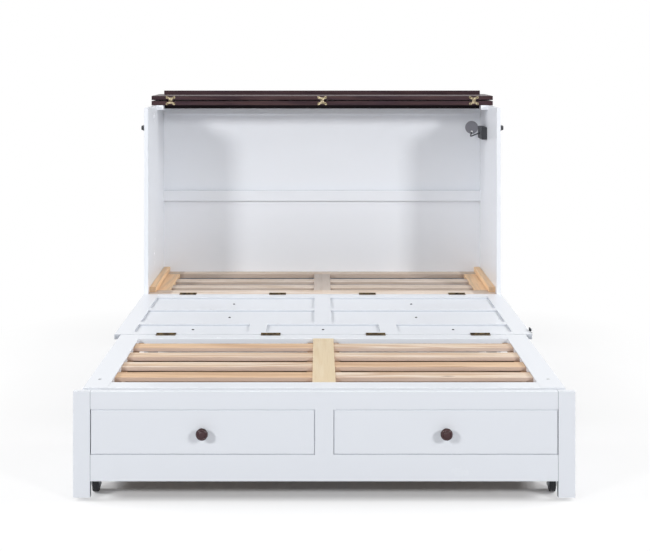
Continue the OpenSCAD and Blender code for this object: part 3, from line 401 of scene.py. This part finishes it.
# mahogany stain on a turned knob: deep red-brown, and a clear lacquer with a sharp highlight. The knob's
# face across the grain takes a lighter end tone: painted light on the face
mahoganyTones = {
    "along": "z", "light": "#35211F", "warm": "#43292A", "other": "#2C1A1D", "dark": "#221316",
    "deep": "#190E10", "end": "#4E3539", "ring": 0.004, "ringCount": 3.0, "fibre": 0.0015,
    "streak": 0.006, "boardMix": 0.5, "ringMix": 0.4, "fibreMix": 0.35, "rough": (0.3, 0.45),
    "bump": 0.2, "boards": (-9.0, 0.2), "boardsAlong": "x", "specular": 0.05, "coat": 0.5,
    "coatRough": 0.1}
turnedMahogany = woodFinish("turned_mahogany_chest_knob", mahoganyTones)
turnedMahoganyFront = woodFinish("turned_mahogany_drawer_knob", mahoganyTones | {"along": "y"})
print("woods ready")


def paintFinish(name, s):
    # sprayed lacquer: a faint orange peel, drawn larger than life so that it shows, and a tone and a
    # gloss that vary a little from place to place
    material, tree, surface, coords = newMaterial(name, {
        "IOR": 1.5, "Specular IOR Level": s["specular"]})
    normals = tree.nodes["Texture Coordinate"].outputs["Normal"]
    clouds = noise(tree, coords, 1 / s["cloud"], 6.0, 0.7)
    tone = mixed(tree, clouds, *s["colours"])
    if s.get("seam"):
        # the hairline where rail and post meet: | |x| - seam | below half its width
        beside = maths(tree, "ABSOLUTE", separated(tree, coords)["X"])
        hairline = maths(tree, "COMPARE", beside, s["seam"], s["seamWidth"] / 2)
        tone = mixed(tree, hairline, tone, s["seamColour"])
    if s.get("recessShade"):
        # painted shade along the foot of the upright sides round each field: it fades from the field
        # upwards
        low, high, most, least = s["recessShade"]
        upright = maths(tree, "LESS_THAN", maths(tree, "ABSOLUTE", separated(tree, normals)["Z"]), 0.6)
        rise = ranged(tree, separated(tree, coords)["Z"], (low, high), (most, least))
        tone = mixed(tree, maths(tree, "MULTIPLY", rise, upright), tone, s["recessShadeColour"])
    if s.get("rawAndShadedFacing"):
        # the sides that face within 45 degrees of this way are brown: raw board, and painted shade where
        # they show through the gaps between the slats
        cosine = vectorMaths(tree, "DOT_PRODUCT", normals, s["rawAndShadedFacing"])["Value"]
        tone = mixed(tree, maths(tree, "GREATER_THAN", cosine, squarely), tone, s["rawAndShadedColour"])
    peel = noise(tree, coords, 1 / s["peel"], 1.0)
    finishSurface(tree, surface, s, clouds, peel, bumpDepths["paint"], tone)
    return material


lacquer = {"colours": ("#E7EAF0", "#E9ECF1"), "cloud": 0.2, "peel": 0.008, "rough": (0.26, 0.28),
           "bump": 0.12, "specular": 0.2}
whiteLacquer = paintFinish("satin_white_lacquer", lacquer)
unitLacquer = paintFinish("satin_white_lacquer_with_joints", lacquer | {
    "seam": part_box("unit_front_rails")[1].x, "seamWidth": 0.0012, "seamColour": "#8C9098"})
# the chest front's frame, with painted shade in the corners of its recesses
panelLacquerShadedRecesses = paintFinish("satin_white_lacquer_painted_shade_corners", lacquer | {
    "recessShade": (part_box("face_backings")[1].z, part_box("face_rails")[1].z, 0.6, 0.3),
    "recessShadeColour": "#8E939C"})
# the drawer unit's back panel, brown on its sides that face forward and up: raw board and painted shade
innerLacquerRawAndShaded = paintFinish("satin_white_lacquer_raw_and_shaded_inside", lacquer | {
    "rawAndShadedFacing": (0, -0.71, 0.71), "rawAndShadedColour": "#8C7862"})
print("paint ready")


metalPattern = {"brushing": (0.06, 1.0, 1.0), "tarnishLevels": (0.4, 0.62)}


def metalFinish(name, s):
    # rolled or cast metal: brushing along X as a stretched noise, and tarnish in soft patches
    material, tree, surface, coords = newMaterial(name, {"Metallic": s["metallic"]})
    brushed = addNode(tree, "ShaderNodeMapping", {"Scale": metalPattern["brushing"]},
                      {"Vector": coords})
    strokes = noise(tree, brushed.outputs[0], 1 / s["stroke"], 2.0)
    patches = noise(tree, coords, 1 / s["patch"], 4.0)
    tone = mixed(tree, ranged(tree, patches, metalPattern["tarnishLevels"]), *s["colours"])
    finishSurface(tree, surface, s, patches, strokes, bumpDepths["metal"], tone)
    return material


bronzedSteel = metalFinish("bronzed_rolled_steel", {
    "metallic": 0.7, "colours": ("#6B5A3C", "#2A2016"), "stroke": 0.002, "patch": 0.012,
    "rough": (0.38, 0.55), "bump": 0.2})
antiqueBrass = metalFinish("antique_brass_sheet", {
    "metallic": 1.0, "colours": ("#A89C82", "#5E5444"), "stroke": 0.0015, "patch": 0.009,
    "rough": (0.28, 0.5), "bump": 0.2})
zincSteel = metalFinish("zinc_plated_steel", {
    "metallic": 1.0, "colours": ("#C2C4C7", "#A2A5AA"), "stroke": 0.0015, "patch": 0.02,
    "rough": (0.25, 0.45), "bump": 0.15})
# black chromate over zinc, as on the panel's knob screws: nearly black with a dull shine
chromatedSteel = metalFinish("chromated_steel", {
    "metallic": 0.3, "colours": ("#18181C", "#101013"), "stroke": 0.001, "patch": 0.008,
    "rough": (0.35, 0.5), "bump": 0.15})
print("metals ready")


def plasticFinish(name, s):
    # moulded plastic: a fine spark-eroded grain breaks up the gloss
    material, tree, surface, coords = newMaterial(name, {"Base Color": colour(s["colour"]), "IOR": 1.5})
    speckle = noise(tree, coords, 1 / s["speckle"], 2.0)
    finishSurface(tree, surface, s, speckle, speckle, bumpDepths["plastic"])
    return material


blackAbs = plasticFinish("moulded_black_abs", {
    "colour": "#24262C", "speckle": 0.0018, "rough": (0.42, 0.62), "bump": 0.25})
pvcJacket = plasticFinish("extruded_pvc_jacket", {
    "colour": "#1D1E22", "speckle": 0.004, "rough": (0.40, 0.52), "bump": 0.08})
greyAbs = plasticFinish("moulded_grey_abs", {
    "colour": "#8A8A92", "speckle": 0.0016, "rough": (0.5, 0.68), "bump": 0.2})
castorRubber = plasticFinish("moulded_caster_rubber", {
    "colour": "#2B2B2F", "speckle": 0.0022, "rough": (0.6, 0.8), "bump": 0.3})
print("plastics ready")


# Power lead, its coil and its plug

# the lead's points and the coil's sizes are in millimetres, all else in metres
leadSettings = {
    "diameter": 0.006, "frontEdge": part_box("left_side_panel")[0].y, "bed": 0.353, "coilAt": (694, 668),
    "coilRadius": 36, "coilStep": 7.5, "coilLayer": 6.6, "coilTurns": 1.5, "coilSteps": 48, "tail": 38}
leadHigh = np.array([
    [748, 383, 698], [744, 390, 696], [738, 404, 692], [733, 422, 688], [730, 443, 684], [728, 465, 681],
    [728, 488, 679], [730, 511, 680], [734, 532, 683], [739, 552, 688], [743, 571, 693], [744, 590, 694],
    [744, 602, 693], [744, 616, 689], [744, 626, 680], [744, 631, 667], [744, 632, 650]])
leadHigh = leadHigh / 1000 + [0, leadSettings["frontEdge"], leadSettings["bed"]]
leadLow = np.array([
    [744, 632, 900], [744, 632, 780], [744, 632, 660], [744, 632, 540], [744, 632, 420], [744, 632, 300],
    [744, 632, 180], [744, 632, 110], [744, 632, 60], [742, 632, 38], [735, 632, 20], [723, 632, 8],
    [710, 632, 3], [700, 632, 3]])
leadLow = leadLow / 1000 + [0, leadSettings["frontEdge"], 0]


def coilLine():
    # in along a spiral on the floor, up half a turn to the second layer, and out again
    s = leadSettings
    u = np.arange(int((2 * s["coilTurns"] + 0.5) * s["coilSteps"]) + 1) / s["coilSteps"]
    wound = np.minimum(u, s["coilTurns"]) - np.maximum(0, u - s["coilTurns"] - 0.5)
    radius = s["coilRadius"] - s["coilStep"] * wound
    height = s["diameter"] / 2 * 1000 + s["coilLayer"] * np.clip(2 * (u - s["coilTurns"]), 0, 1)
    angle = np.radians(-90 - 360 * u)
    spiral = np.stack([radius * np.cos(angle), radius * np.sin(angle), height], -1)
    tail = np.array([[s["tail"] * k / 3, s["coilRadius"], height[-1]] for k in (1, 2, 3)])
    return (np.concatenate([spiral, tail]) + [*s["coilAt"], 0]) / 1000 + [0, s["frontEdge"], 0]


leadLine = np.concatenate([smoothLine(np.concatenate([leadHigh, leadLow]), 6), coilLine()])
lead = makePiece("power_lead", *swept(leadLine, leadSettings["diameter"] / 2, 12),
                 pvcJacket, "cabinet", "lead_rubber")
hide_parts("charger_lead", "lead_coil")


# the sleeve reaches a little past the lead's first point; its root is in millimetres
reliefSettings = {"root": (761, 361, 704.5), "reach": 1.02, "radius": 0.0049, "taper": 0.0012,
                  "ribs": 6.5, "ribHeight": 0.00035}


def reliefSleeve():
    # a tapered sleeve with ribs: the radius falls from root to tip and dips between the ribs
    s = reliefSettings
    root = np.array(s["root"]) / 1000 + [0, leadSettings["frontEdge"], leadSettings["bed"]]
    along = np.linspace(0, 1, 41)
    line = root + s["reach"] * (leadHigh[0] - root) * along[:, None]
    ribs = s["ribHeight"] * np.clip(np.sin(along * 2 * np.pi * s["ribs"]), -0.3, 0.6)
    return swept(line, s["radius"] - s["taper"] * along + ribs, 24)


relief = makePiece("lead_strain_relief", *reliefSleeve(), blackAbs, "cabinet", "black_plastic")


def roundedBar(low, high, corner, steps):
    # a bar along X: a rectangle with rounded corners carried along, drawn in at both ends
    low, high = np.asarray(low, float), np.asarray(high, float)
    half = (high - low)[1:] / 2
    angle = np.linspace(0, np.pi / 2, steps)
    quarter = np.stack([np.cos(angle), np.sin(angle)], -1) * corner
    centre = half - corner
    section = np.concatenate([quarter + centre, quarter[::-1] * [-1, 1] + centre * [-1, 1],
                              -quarter - centre, quarter[::-1] * [1, -1] + centre * [1, -1]])
    # how far each ring near an end lies from it, and how far it is drawn in: a quarter circle
    fall = np.array([0, 0.3, 0.7, 1])
    inset = corner * (1 - np.sqrt(1 - (1 - fall) ** 2))
    x = np.concatenate([corner * fall, (high - low)[0] - corner * fall[::-1]])
    scale = 1 - np.concatenate([inset, inset[::-1]])[:, None] / half
    rings = np.concatenate([np.repeat(x[:, None, None], len(section), 1),
                            section[None] * scale[:, None]], -1).reshape(-1, 3)
    middle = (low + high)[1:] / 2
    points = np.concatenate([rings + [low[0], *middle], [[low[0], *middle]], [[high[0], *middle]]])
    return points, closedFaces(len(x), len(section))


plugSettings = {
    "pinLength": 0.017, "pinAside": 0.00635, "pinHalf": (0.0008, 0.0032), "pinCorner": 0.0007,
    "corner": 0.0042, "grips": 4, "gripFirst": 0.004, "gripPitch": 0.0045, "gripWidth": 0.0022,
    "gripProud": 0.0004, "gripHalf": 0.006, "gripCorner": 0.0008}


def plugShapes():
    # a rounded body with four grips round it, and two flat pins; both are centred on the lead
    s = plugSettings
    low, high = (np.array(corner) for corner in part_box("lead_plug"))
    _, y, z = (low + high) / 2
    pinRoot = high[0] - s["pinLength"]
    body = roundedBar(low, [pinRoot, *high[1:]], s["corner"], 6)
    starts = [low[0] + s["gripFirst"] + s["gripPitch"] * k for k in range(s["grips"])]
    grips = [roundedBar([start, low[1] - s["gripProud"], z - s["gripHalf"]],
                        [start + s["gripWidth"], high[1] + s["gripProud"], z + s["gripHalf"]],
                        s["gripCorner"], 3) for start in starts]
    thin, wide = s["pinHalf"]
    pins = [roundedBar([pinRoot, y + aside - thin, z - wide], [high[0], y + aside + thin, z + wide],
                       s["pinCorner"], 4) for aside in (-s["pinAside"], s["pinAside"])]
    return joined([body] + grips), joined(pins)


# in millimetres, from the coil's centre
tieSettings = {"middle": (30.4, 6.75), "half": (7.15, 6.45), "width": 6.0, "thickness": 0.5,
               "steps": 64}


def tieShape():
    # a flat strap round the coil's turns: (|x| / a)^4 + (|z| / b)^4 = 1, in the plane of one radius
    s = tieSettings
    angle = np.linspace(0, 2 * np.pi, s["steps"], endpoint=False)
    circle = np.stack([np.cos(angle), np.sin(angle)], -1)
    ring = np.sign(circle) * np.abs(circle) ** 0.5
    across = np.array([-1, -0.9, 0.9, 1, 0.9, -0.9]) * s["width"] / 2
    outward = np.array([0, 1, 1, 0, -1, -1]) * s["thickness"] / 2
    reach = ring[:, None] * (np.array(s["half"]) + outward[None, :, None]) + s["middle"]
    points = np.stack([-reach[..., 0], np.broadcast_to(across, reach.shape[:2]), reach[..., 1]], -1)
    points = (points.reshape(-1, 3) + [*leadSettings["coilAt"], 0]) / 1000
    faces = [face[::-1] for face in torusFaces(len(ring), len(across))]
    return points + [0, leadSettings["frontEdge"], 0], faces


tie = makePiece("coil_tie", *tieShape(), blackAbs, "cabinet", "black_plastic")
plugBody, plugPins = plugShapes()
plug = makePiece("plug_body", *plugBody, blackAbs, "cabinet", "black_plastic")
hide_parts("lead_plug")
pins = makePiece("plug_pins", *plugPins, zincSteel, "cabinet", "steel")


# Finishes of the CAD nodes, also of those that a piece above or below replaces

finishes = {
    whiteLacquer: ["left_side_panel", "right_side_panel", "back_panel", "back_rails", "lid_cleats",
                   "face_backings", "false_drawer_fronts", "frame_side_rails", "frame_cross_rails",
                   "unit_side_panels", "unit_divider", "left_drawer_front", "right_drawer_front"],
    panelLacquerShadedRecesses: ["face_stiles", "face_rails", "face_muntins"],
    innerLacquerRawAndShaded: ["unit_back_panel"],
    unitLacquer: ["unit_posts", "unit_front_rails"],
    slatPine: ["frame_slats_pine"],
    deckPine: ["deck_cross_rails", "deck_slats"],
    lengthwisePine: ["deck_side_boards", "deck_battens"],
    sawnPineAndShade: ["frame_ledges"],
    drawerPine: ["left_drawer_box", "right_drawer_box"],
    plywood: ["frame_centre_board"],
    greyPlywood: ["deck_centre_board"],
    walnutStain: ["lid_rear_board", "lid_front_board", "lid_front_strip"],
    walnutStainAndShade: ["lid_rear_strip"],
    turnedMahogany: ["face_knobs"],
    turnedMahoganyFront: ["left_drawer_knob", "right_drawer_knob"],
    bronzedSteel: ["deck_hinges", "face_rear_hinges", "face_front_hinges", "frame_hinges",
                   "face_knob_screws"],
    antiqueBrass: ["lid_rear_hinges", "lid_front_hinges"],
    zincSteel: ["face_keeper", "unit_runners", "caster_brackets", "left_drawer_runners",
                "right_drawer_runners"],
    blackAbs: ["cabinet_glides", "charger_box", "lead_plug", "left_catch_knob", "right_catch_knob"],
    pvcJacket: ["charger_lead", "lead_coil"],
    greyAbs: ["cable_grommet"],
    castorRubber: ["front_left_wheel", "front_right_wheel", "rear_left_wheel", "rear_right_wheel"],
}
for finish, names in finishes.items():
    for name in names:
        nodes[name].data.materials.clear()
        nodes[name].data.materials.append(finish)
print("nodes dressed")


# Turned knobs

knobSettings = {"radius": 0.0195, "length": 0.033, "steps": 64}


def knobShape():
    # a neck, a round body, and a face with a groove cut round its middle button
    s = knobSettings
    outline = smoothLine([[0.46, 0], [0.44, 0.06], [0.36, 0.2], [0.34, 0.32], [0.42, 0.43],
                          [0.72, 0.50], [0.94, 0.59], [1.0, 0.70], [0.95, 0.82], [0.82, 0.90],
                          [0.68, 0.93], [0.61, 0.90], [0.54, 0.94], [0.36, 0.985], [0.12, 1.0]], 4)
    return turned(outline * [s["radius"], s["length"]], s["steps"])


for side in ("left", "right"):
    low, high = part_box(side + "_drawer_knob")
    foot = ((low.x + high.x) / 2, high.y, (low.z + high.z) / 2)
    knob = makePiece(side + "_turned_knob", *placed(knobShape(), foot, (0, -1, 0)),
                     turnedMahoganyFront, side + "_drawer", "mahogany")
    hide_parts(side + "_drawer_knob")

# the chest front's knobs: each of their solids has its lowest point in its middle
knobPoints = np.array([vertex.co for vertex in nodes["face_knobs"].data.vertices])
lowest = np.abs(knobPoints[:, 2] - knobPoints[:, 2].min()) < 1e-4
knobMiddles = np.unique(np.round(knobPoints[lowest][:, :2], 4), axis=0)
knobTop = knobPoints[:, 2].max()
knobShapes = [placed(knobShape(), (x, y, knobTop), (0, 0, -1)) for x, y in knobMiddles]
chestKnobs = makePiece("chest_front_knobs", *joined(knobShapes),
                       turnedMahogany, "face_panel", "mahogany")
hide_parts("face_knobs")
print("knobs turned:", len(knobMiddles) + 2)


# Screws

def crossed(points, radius, depth, length, width):
    # sinks a cross into a head's top, where |x| or |y| is small; its length and width are shares
    # of the radius
    reach = np.hypot(points[:, 0], points[:, 1]) / radius
    slim = np.minimum(np.abs(points[:, 0]), np.abs(points[:, 1])) / radius
    points[:, 2] -= depth * (reach < length) * (slim < width) * (points[:, 2] > 0)
    return points


def screwHead(radius, height):
    # a low dome: z = h (1 - (r / R)^2.4)
    r = np.array([1.0, 0.93, 0.8, 0.62, 0.5, 0.36, 0.2, 0.08])
    points, faces = turned(np.stack([r * radius, height * (1 - r ** 2.4)], -1), 24)
    return crossed(points, radius, height * 0.45, 0.6, 0.14), faces


def countersunkHead(radius):
    # a cone that fills the hole, under a nearly flat top
    outline = np.array([[0.45, -0.4], [0.96, 0], [0.9, 0.03], [0.7, 0.06], [0.5, 0.07], [0.36, 0.075],
                        [0.2, 0.08], [0.08, 0.08]])
    points, faces = turned(outline * radius, 24)
    return crossed(points, radius, 0.22 * radius, 0.55, 0.15), faces


# each head's last number turns its cross by its place, so that no row of them looks stamped. The fold
# hinges' pins lie pinInset behind the front edge of their boxes
pinInset = 0.0029
foldScrews = {
    "xs": (-0.605, -0.202, 0.202, 0.605), "radius": 0.0034, "top": 0.3545, "apart": 0.027,
    "outer": 0.0112, "middle": 0.0147, "deck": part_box("deck_hinges")[0].y + pinInset,
    "frame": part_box("face_front_hinges")[0].y + pinInset}
s = foldScrews
for name, body, pin, towards in (("deck_hinge_screws", "cabinet", "deck", 1),
                                 ("panel_rear_hinge_screws", "face_panel", "deck", -1),
                                 ("panel_front_hinge_screws", "face_panel", "frame", 1),
                                 ("frame_hinge_screws", "folding_frame", "frame", -1)):
    heads = [placed(countersunkHead(s["radius"]),
                    (x + dx, s[pin] + towards * (s["outer"] if dx else s["middle"]), s["top"]),
                    (0, 0, 1), 0.4 + 7 * x + dx * 40)
             for x in s["xs"] for dx in (-s["apart"], 0, s["apart"])]
    makePiece(name, *joined(heads), bronzedSteel, body, "bronze")

lidScrews = {"xs": (-0.72, 0.0, 0.72), "radius": 0.0026, "face": 0.8192, "apart": 0.017,
             "rise": 0.01565}
lidPinZ = (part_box("lid_rear_board")[1].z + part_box("lid_front_board")[0].z) / 2
s = lidScrews
for name, body, towards in (("lid_rear_hinge_screws", "cabinet", -1),
                            ("lid_front_hinge_screws", "lid_front", 1)):
    heads = [placed(countersunkHead(s["radius"]), (x + dx, s["face"], lidPinZ + towards * s["rise"]),
                    (0, -1, 0), 0.6 + dx * 50)
             for x in s["xs"] for dx in (-s["apart"], s["apart"])]
    makePiece(name, *joined(heads), bronzedSteel, body, "bronze")

knobScrewHead = {"radius": 0.0056, "height": 0.0034}
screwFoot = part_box("face_knob_screws")[0].z
heads = [placed(screwHead(**knobScrewHead), (x, y, screwFoot), (0, 0, 1), 0.3 + 5 * x)
         for x, y in knobMiddles]
knobScrews = makePiece("knob_screw_heads", *joined(heads), chromatedSteel, "face_panel", "steel")
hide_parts("face_knob_screws")

# small zinc-plated heads: body, radius, height, the way they face, and their places
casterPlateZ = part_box("unit_posts")[0].z + 0.049
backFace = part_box("back_panel")[1].y
smallHeads = {
    # bolts through the folding frame's front corners
    "frame_corner_bolts": ("folding_frame", 0.0065, 0.0012, (0, 0, 1),
                           [(x, -0.942, 0.353) for x in (-0.744, 0.744)]),
    # pins that hold the middle row of backing boards
    "backing_pins": ("face_panel", 0.003, 0.0008, (0, 0, 1),
                     [(x, 0.031, 0.345) for x in (-0.7217, 0.7217)]),
    "caster_plate_screws": ("drawer_unit", 0.0032, 0.0014, (0, 0, -1),
                            [(x, y + dy, casterPlateZ) for x in (-0.746, 0.746)
                             for y in (-0.99215, -0.58415) for dy in (-0.0185, 0.0185)]),
    # up both sides of the back panel, and in rows along its three rails
    "back_panel_screws": ("cabinet", 0.004, 0.0008, (0, 1, 0),
                          [(x, backFace, z) for x in (-0.775, 0.775)
                           for z in np.linspace(0.06, 1.15, 7)]
                          + [(x, backFace, z) for x in np.linspace(-0.6, 0.6, 7)
                             for z in (0.05, 0.66, 1.165)]),
}
for name, (body, radius, height, facing, places) in smallHeads.items():
    heads = [placed(screwHead(radius, height), (x, y, z), facing, 0.5 + 3 * x + 5 * y + 7 * z)
             for x, y, z in places]
    makePiece(name, *joined(heads), zincSteel, body, "steel")
print("screws driven")


# Side catch knobs

catchSettings = {"radius": 0.017, "waist": 0.01054, "flutes": 9, "fluteDepth": 0.16, "face": 0.8033,
                 "studRadius": 0.004, "studDepth": 0.018}


def catchShape():
    # a round flange and a fluted grip: the radius rises and falls nine times round the grip
    s = catchSettings
    radius, waist = s["radius"], s["waist"]
    profile = [[radius * 0.98, 0], [radius, 0.0006], [radius, 0.0019], [radius * 0.93, 0.0029],
               [waist * 1.12, 0.0072], [waist, 0.0085], [waist, 0.0128], [waist * 0.95, 0.0142],
               [waist * 0.82, 0.015], [waist * 0.5, 0.0149], [waist * 0.44, 0.0142], [0.001, 0.0142]]

    def fluted(turn, radius, height):
        grip = (height > 0.0079) * (radius > 0.006)
        return 1 - s["fluteDepth"] * grip * np.clip(np.cos(s["flutes"] * turn) - 0.2, 0, 1)

    return turned(profile, 144, fluted)


s = catchSettings
for side, sign in (("left", -1), ("right", 1)):
    low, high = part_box(side + "_catch_knob")
    foot = (sign * s["face"], (low.y + high.y) / 2, (low.z + high.z) / 2)
    grip = makePiece(side + "_catch_grip", *placed(catchShape(), foot, (sign, 0, 0)),
                     blackAbs, side + "_catch", "black_plastic")
    stud = turned([[s["studRadius"], -s["studDepth"]], [s["studRadius"], 0.0005]], 32)
    makePiece(side + "_catch_stud", *placed(stud, foot, (sign, 0, 0)),
              zincSteel, side + "_catch", "steel")
    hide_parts(side + "_catch_knob")
print("catches made")


# Casters

casterSettings = {"bore": 0.0035, "hub": 0.0085, "rim": 0.0208, "spokes": 6, "halfWidth": 0.0099,
                  "webHalf": 0.006}


def tyreLoop(radius):
    # a tread with two grooves, in millimetres under the tread's radius and from its middle
    half = np.array([[4.2, 9.4], [1.4, 9.9], [0.3, 9.3], [0, 8.0],
                     [0, 3.9], [0.6, 3.5], [0.6, 2.7], [0, 2.3]]) / 1000
    half[:, 0] = radius - half[:, 0]
    return np.concatenate([half, half[::-1] * [1, -1]])


def hubShape():
    # a hub and a rim joined by a web, which is hollowed on both sides between the spokes
    s = casterSettings
    rim, hub, edge, web = s["rim"], s["hub"], s["halfWidth"] - 0.0006, s["webHalf"]
    half = np.array([[rim, edge], [rim - 0.0008, 0.0088], [rim - 0.0016, web], [rim - 0.003, web],
                     [hub + 0.0022, web], [hub + 0.0008, web], [hub, edge], [s["bore"], s["halfWidth"]]])
    loop = np.concatenate([half, half[::-1] * [1, -1]])

    def hollow(turn, radius, height):
        inWeb = (radius > hub + 0.0015) & (radius < rim - 0.002)
        between = np.clip(1.6 * np.cos(s["spokes"] * turn) + 0.6, 0, 1)
        return height * (1 - 0.5 * inWeb * between)

    return ringed(loop, 96, hollow)


for name in ("front_left", "front_right", "rear_left", "rear_right"):
    low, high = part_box(name + "_wheel")
    middle = (low + high) / 2
    tread = ringed(tyreLoop((high.z - low.z) / 2), 96)
    tyre = makePiece(name + "_tyre", *placed(tread, middle, (1, 0, 0)),
                     castorRubber, name + "_caster", "wheel_rubber")
    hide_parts(name + "_wheel")
    makePiece(name + "_hub", *placed(hubShape(), middle, (1, 0, 0)),
              greyAbs, name + "_caster", "grey_plastic")
print("casters made")


# Small fittings

# behind each drawer front's face a rebate fills most of the gap, so that no light falls through
rebate = {"proud": 0.0025, "set": 0.0042, "thickness": 0.0106, "corner": 0.001}
for side in ("left", "right"):
    low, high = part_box(side + "_drawer_front")
    start = (low.x - rebate["proud"], low.y + rebate["set"], low.z - rebate["proud"])
    end = (high.x + rebate["proud"], start[1] + rebate["thickness"], high.z + rebate["proud"])
    makePiece(side + "_drawer_rebate", *roundedBar(start, end, rebate["corner"], 4),
              whiteLacquer, side + "_drawer", "white_paint", False)

# a black cap over the keeper's top edge
keeperCap = {"width": 0.0052, "depth": 0.0105, "proud": 0.0004, "above": 0.0006, "corner": 0.0011}
low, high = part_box("face_keeper")
start = (low.x, low.y - keeperCap["proud"], high.z - keeperCap["depth"])
end = (low.x + keeperCap["width"], high.y + keeperCap["proud"], high.z + keeperCap["above"])
makePiece("keeper_cap", *roundedBar(start, end, keeperCap["corner"], 5),
          blackAbs, "face_panel", "black_plastic")
print("fittings made")


# Stage and lights

# half is what the object covers of the floor, measured from its middle
stageSettings = {
    "reach": 30.0, "seen": "#FBFBFC", "bounce": "#A4A6AA", "half": (0.8, 1.1), "shade": 0.4, "fade": 0.9,
    "under": 0.06, "sky": (0.94, 0.97, 1.0, 1), "skyStrength": 0.125}
bpy.ops.mesh.primitive_plane_add(size=stageSettings["reach"])
floor = bpy.context.object
floor.name = "floor"
floorMaterial, floorTree, floorSurface, floorCoords = newMaterial(
    "matt_studio_floor", {"Roughness": 0.9})
# outside the object's outline the paper turns white with the length of max(|p| - half, 0), and under
# the object it turns plain again, so that nothing white shows through the slats
apart = vectorMaths(floorTree, "ABSOLUTE", floorCoords)[0]
apart = vectorMaths(floorTree, "SUBTRACT", apart, (*stageSettings["half"], 1))[0]
outside = vectorMaths(floorTree, "MAXIMUM", apart, (0, 0, 0))[0]
beyond = vectorMaths(floorTree, "LENGTH", outside)["Value"]
margins = separated(floorTree, apart)
inward = maths(floorTree, "MAXIMUM", margins["X"], margins["Y"])
rim = ranged(floorTree, inward, (-stageSettings["under"], 0.0), (0.0, 1 - stageSettings["shade"]))
faded = ranged(floorTree, beyond, (0.0, stageSettings["fade"]), (0.0, stageSettings["shade"]))
white = maths(floorTree, "ADD", rim, faded)


def backgroundRays(tree):
    # 1 for a ray that shows the background: camera, glossy or transmission, else 0
    rays = addNode(tree, "ShaderNodeLightPath").outputs
    seen = maths(tree, "MAXIMUM", rays["Is Camera Ray"], rays["Is Glossy Ray"])
    return maths(tree, "MAXIMUM", seen, rays["Is Transmission Ray"])


shown = backgroundRays(floorTree)
paper = mixed(floorTree, shown, stageSettings["bounce"], stageSettings["seen"])
floorTree.links.new(paper, floorSurface.inputs["Base Color"])
glow = addNode(floorTree, "ShaderNodeEmission", {"Color": (1, 1, 1, 1), "Strength": 1.0}).outputs[0]
blend = addNode(floorTree, "ShaderNodeMixShader", links={
    0: maths(floorTree, "MULTIPLY", white, shown), 1: floorSurface.outputs[0], 2: glow}).outputs[0]
floorOutput = next(node for node in floorTree.nodes if node.type == "OUTPUT_MATERIAL")
floorTree.links.new(blend, floorOutput.inputs["Surface"])
floor.data.materials.append(floorMaterial)

world = bpy.data.worlds.new("studio")
bpy.context.scene.world = world
world.use_nodes = True
worldTree = world.node_tree
worldTree.nodes.clear()
ambient = addNode(worldTree, "ShaderNodeBackground", {
    "Color": stageSettings["sky"], "Strength": stageSettings["skyStrength"]})
backdrop = addNode(worldTree, "ShaderNodeBackground", {"Color": (1, 1, 1, 1), "Strength": 1.0})
sky = addNode(worldTree, "ShaderNodeMixShader", links={
    0: backgroundRays(worldTree), 1: ambient.outputs[0], 2: backdrop.outputs[0]})
addNode(worldTree, "ShaderNodeOutputWorld", links={"Surface": sky.outputs[0]})

# a lamp that isn't in the middle has a twin on the left; powers are in watts
lamps = {
    "front_softbox": {"place": (4.8, -6.0, 3.4), "aim": (0, 0.9, 0.7), "size": 1.1, "power": 224},
    "side_softbox": {"place": (4.3, -0.4, 3.16), "aim": (0, 0.4, 0.6), "size": 2.0, "power": 122},
    "rear_softbox": {"place": (4.2, 6.5, 3.6), "aim": (0, 0.9, 0.7), "size": 2.2, "power": 60},
    "top_softbox": {"place": (0, -0.4, 5.0), "aim": (0, -0.3, 0), "size": 2.6, "power": 17},
    "fill_softbox": {"place": (0, -9.0, 1.6), "aim": (0, 0.9, 0.7), "size": 1.6, "power": 84},
}
for name, s in lamps.items():
    for side, sign in (("left_", -1), ("right_", 1)) if s["place"][0] else (("", 1),):
        light = bpy.data.objects.new(side + name, bpy.data.lights.new(side + name, "AREA"))
        bpy.context.scene.collection.objects.link(light)
        light.data.size = s["size"]
        light.data.energy = s["power"]
        light.location = (sign * s["place"][0], *s["place"][1:])
        light.rotation_euler = (Vector(s["aim"]) - light.location).to_track_quat("-Z", "Y").to_euler()
        light.visible_camera = False
bpy.context.scene.view_settings.view_transform = "Standard"
print("stage lit")
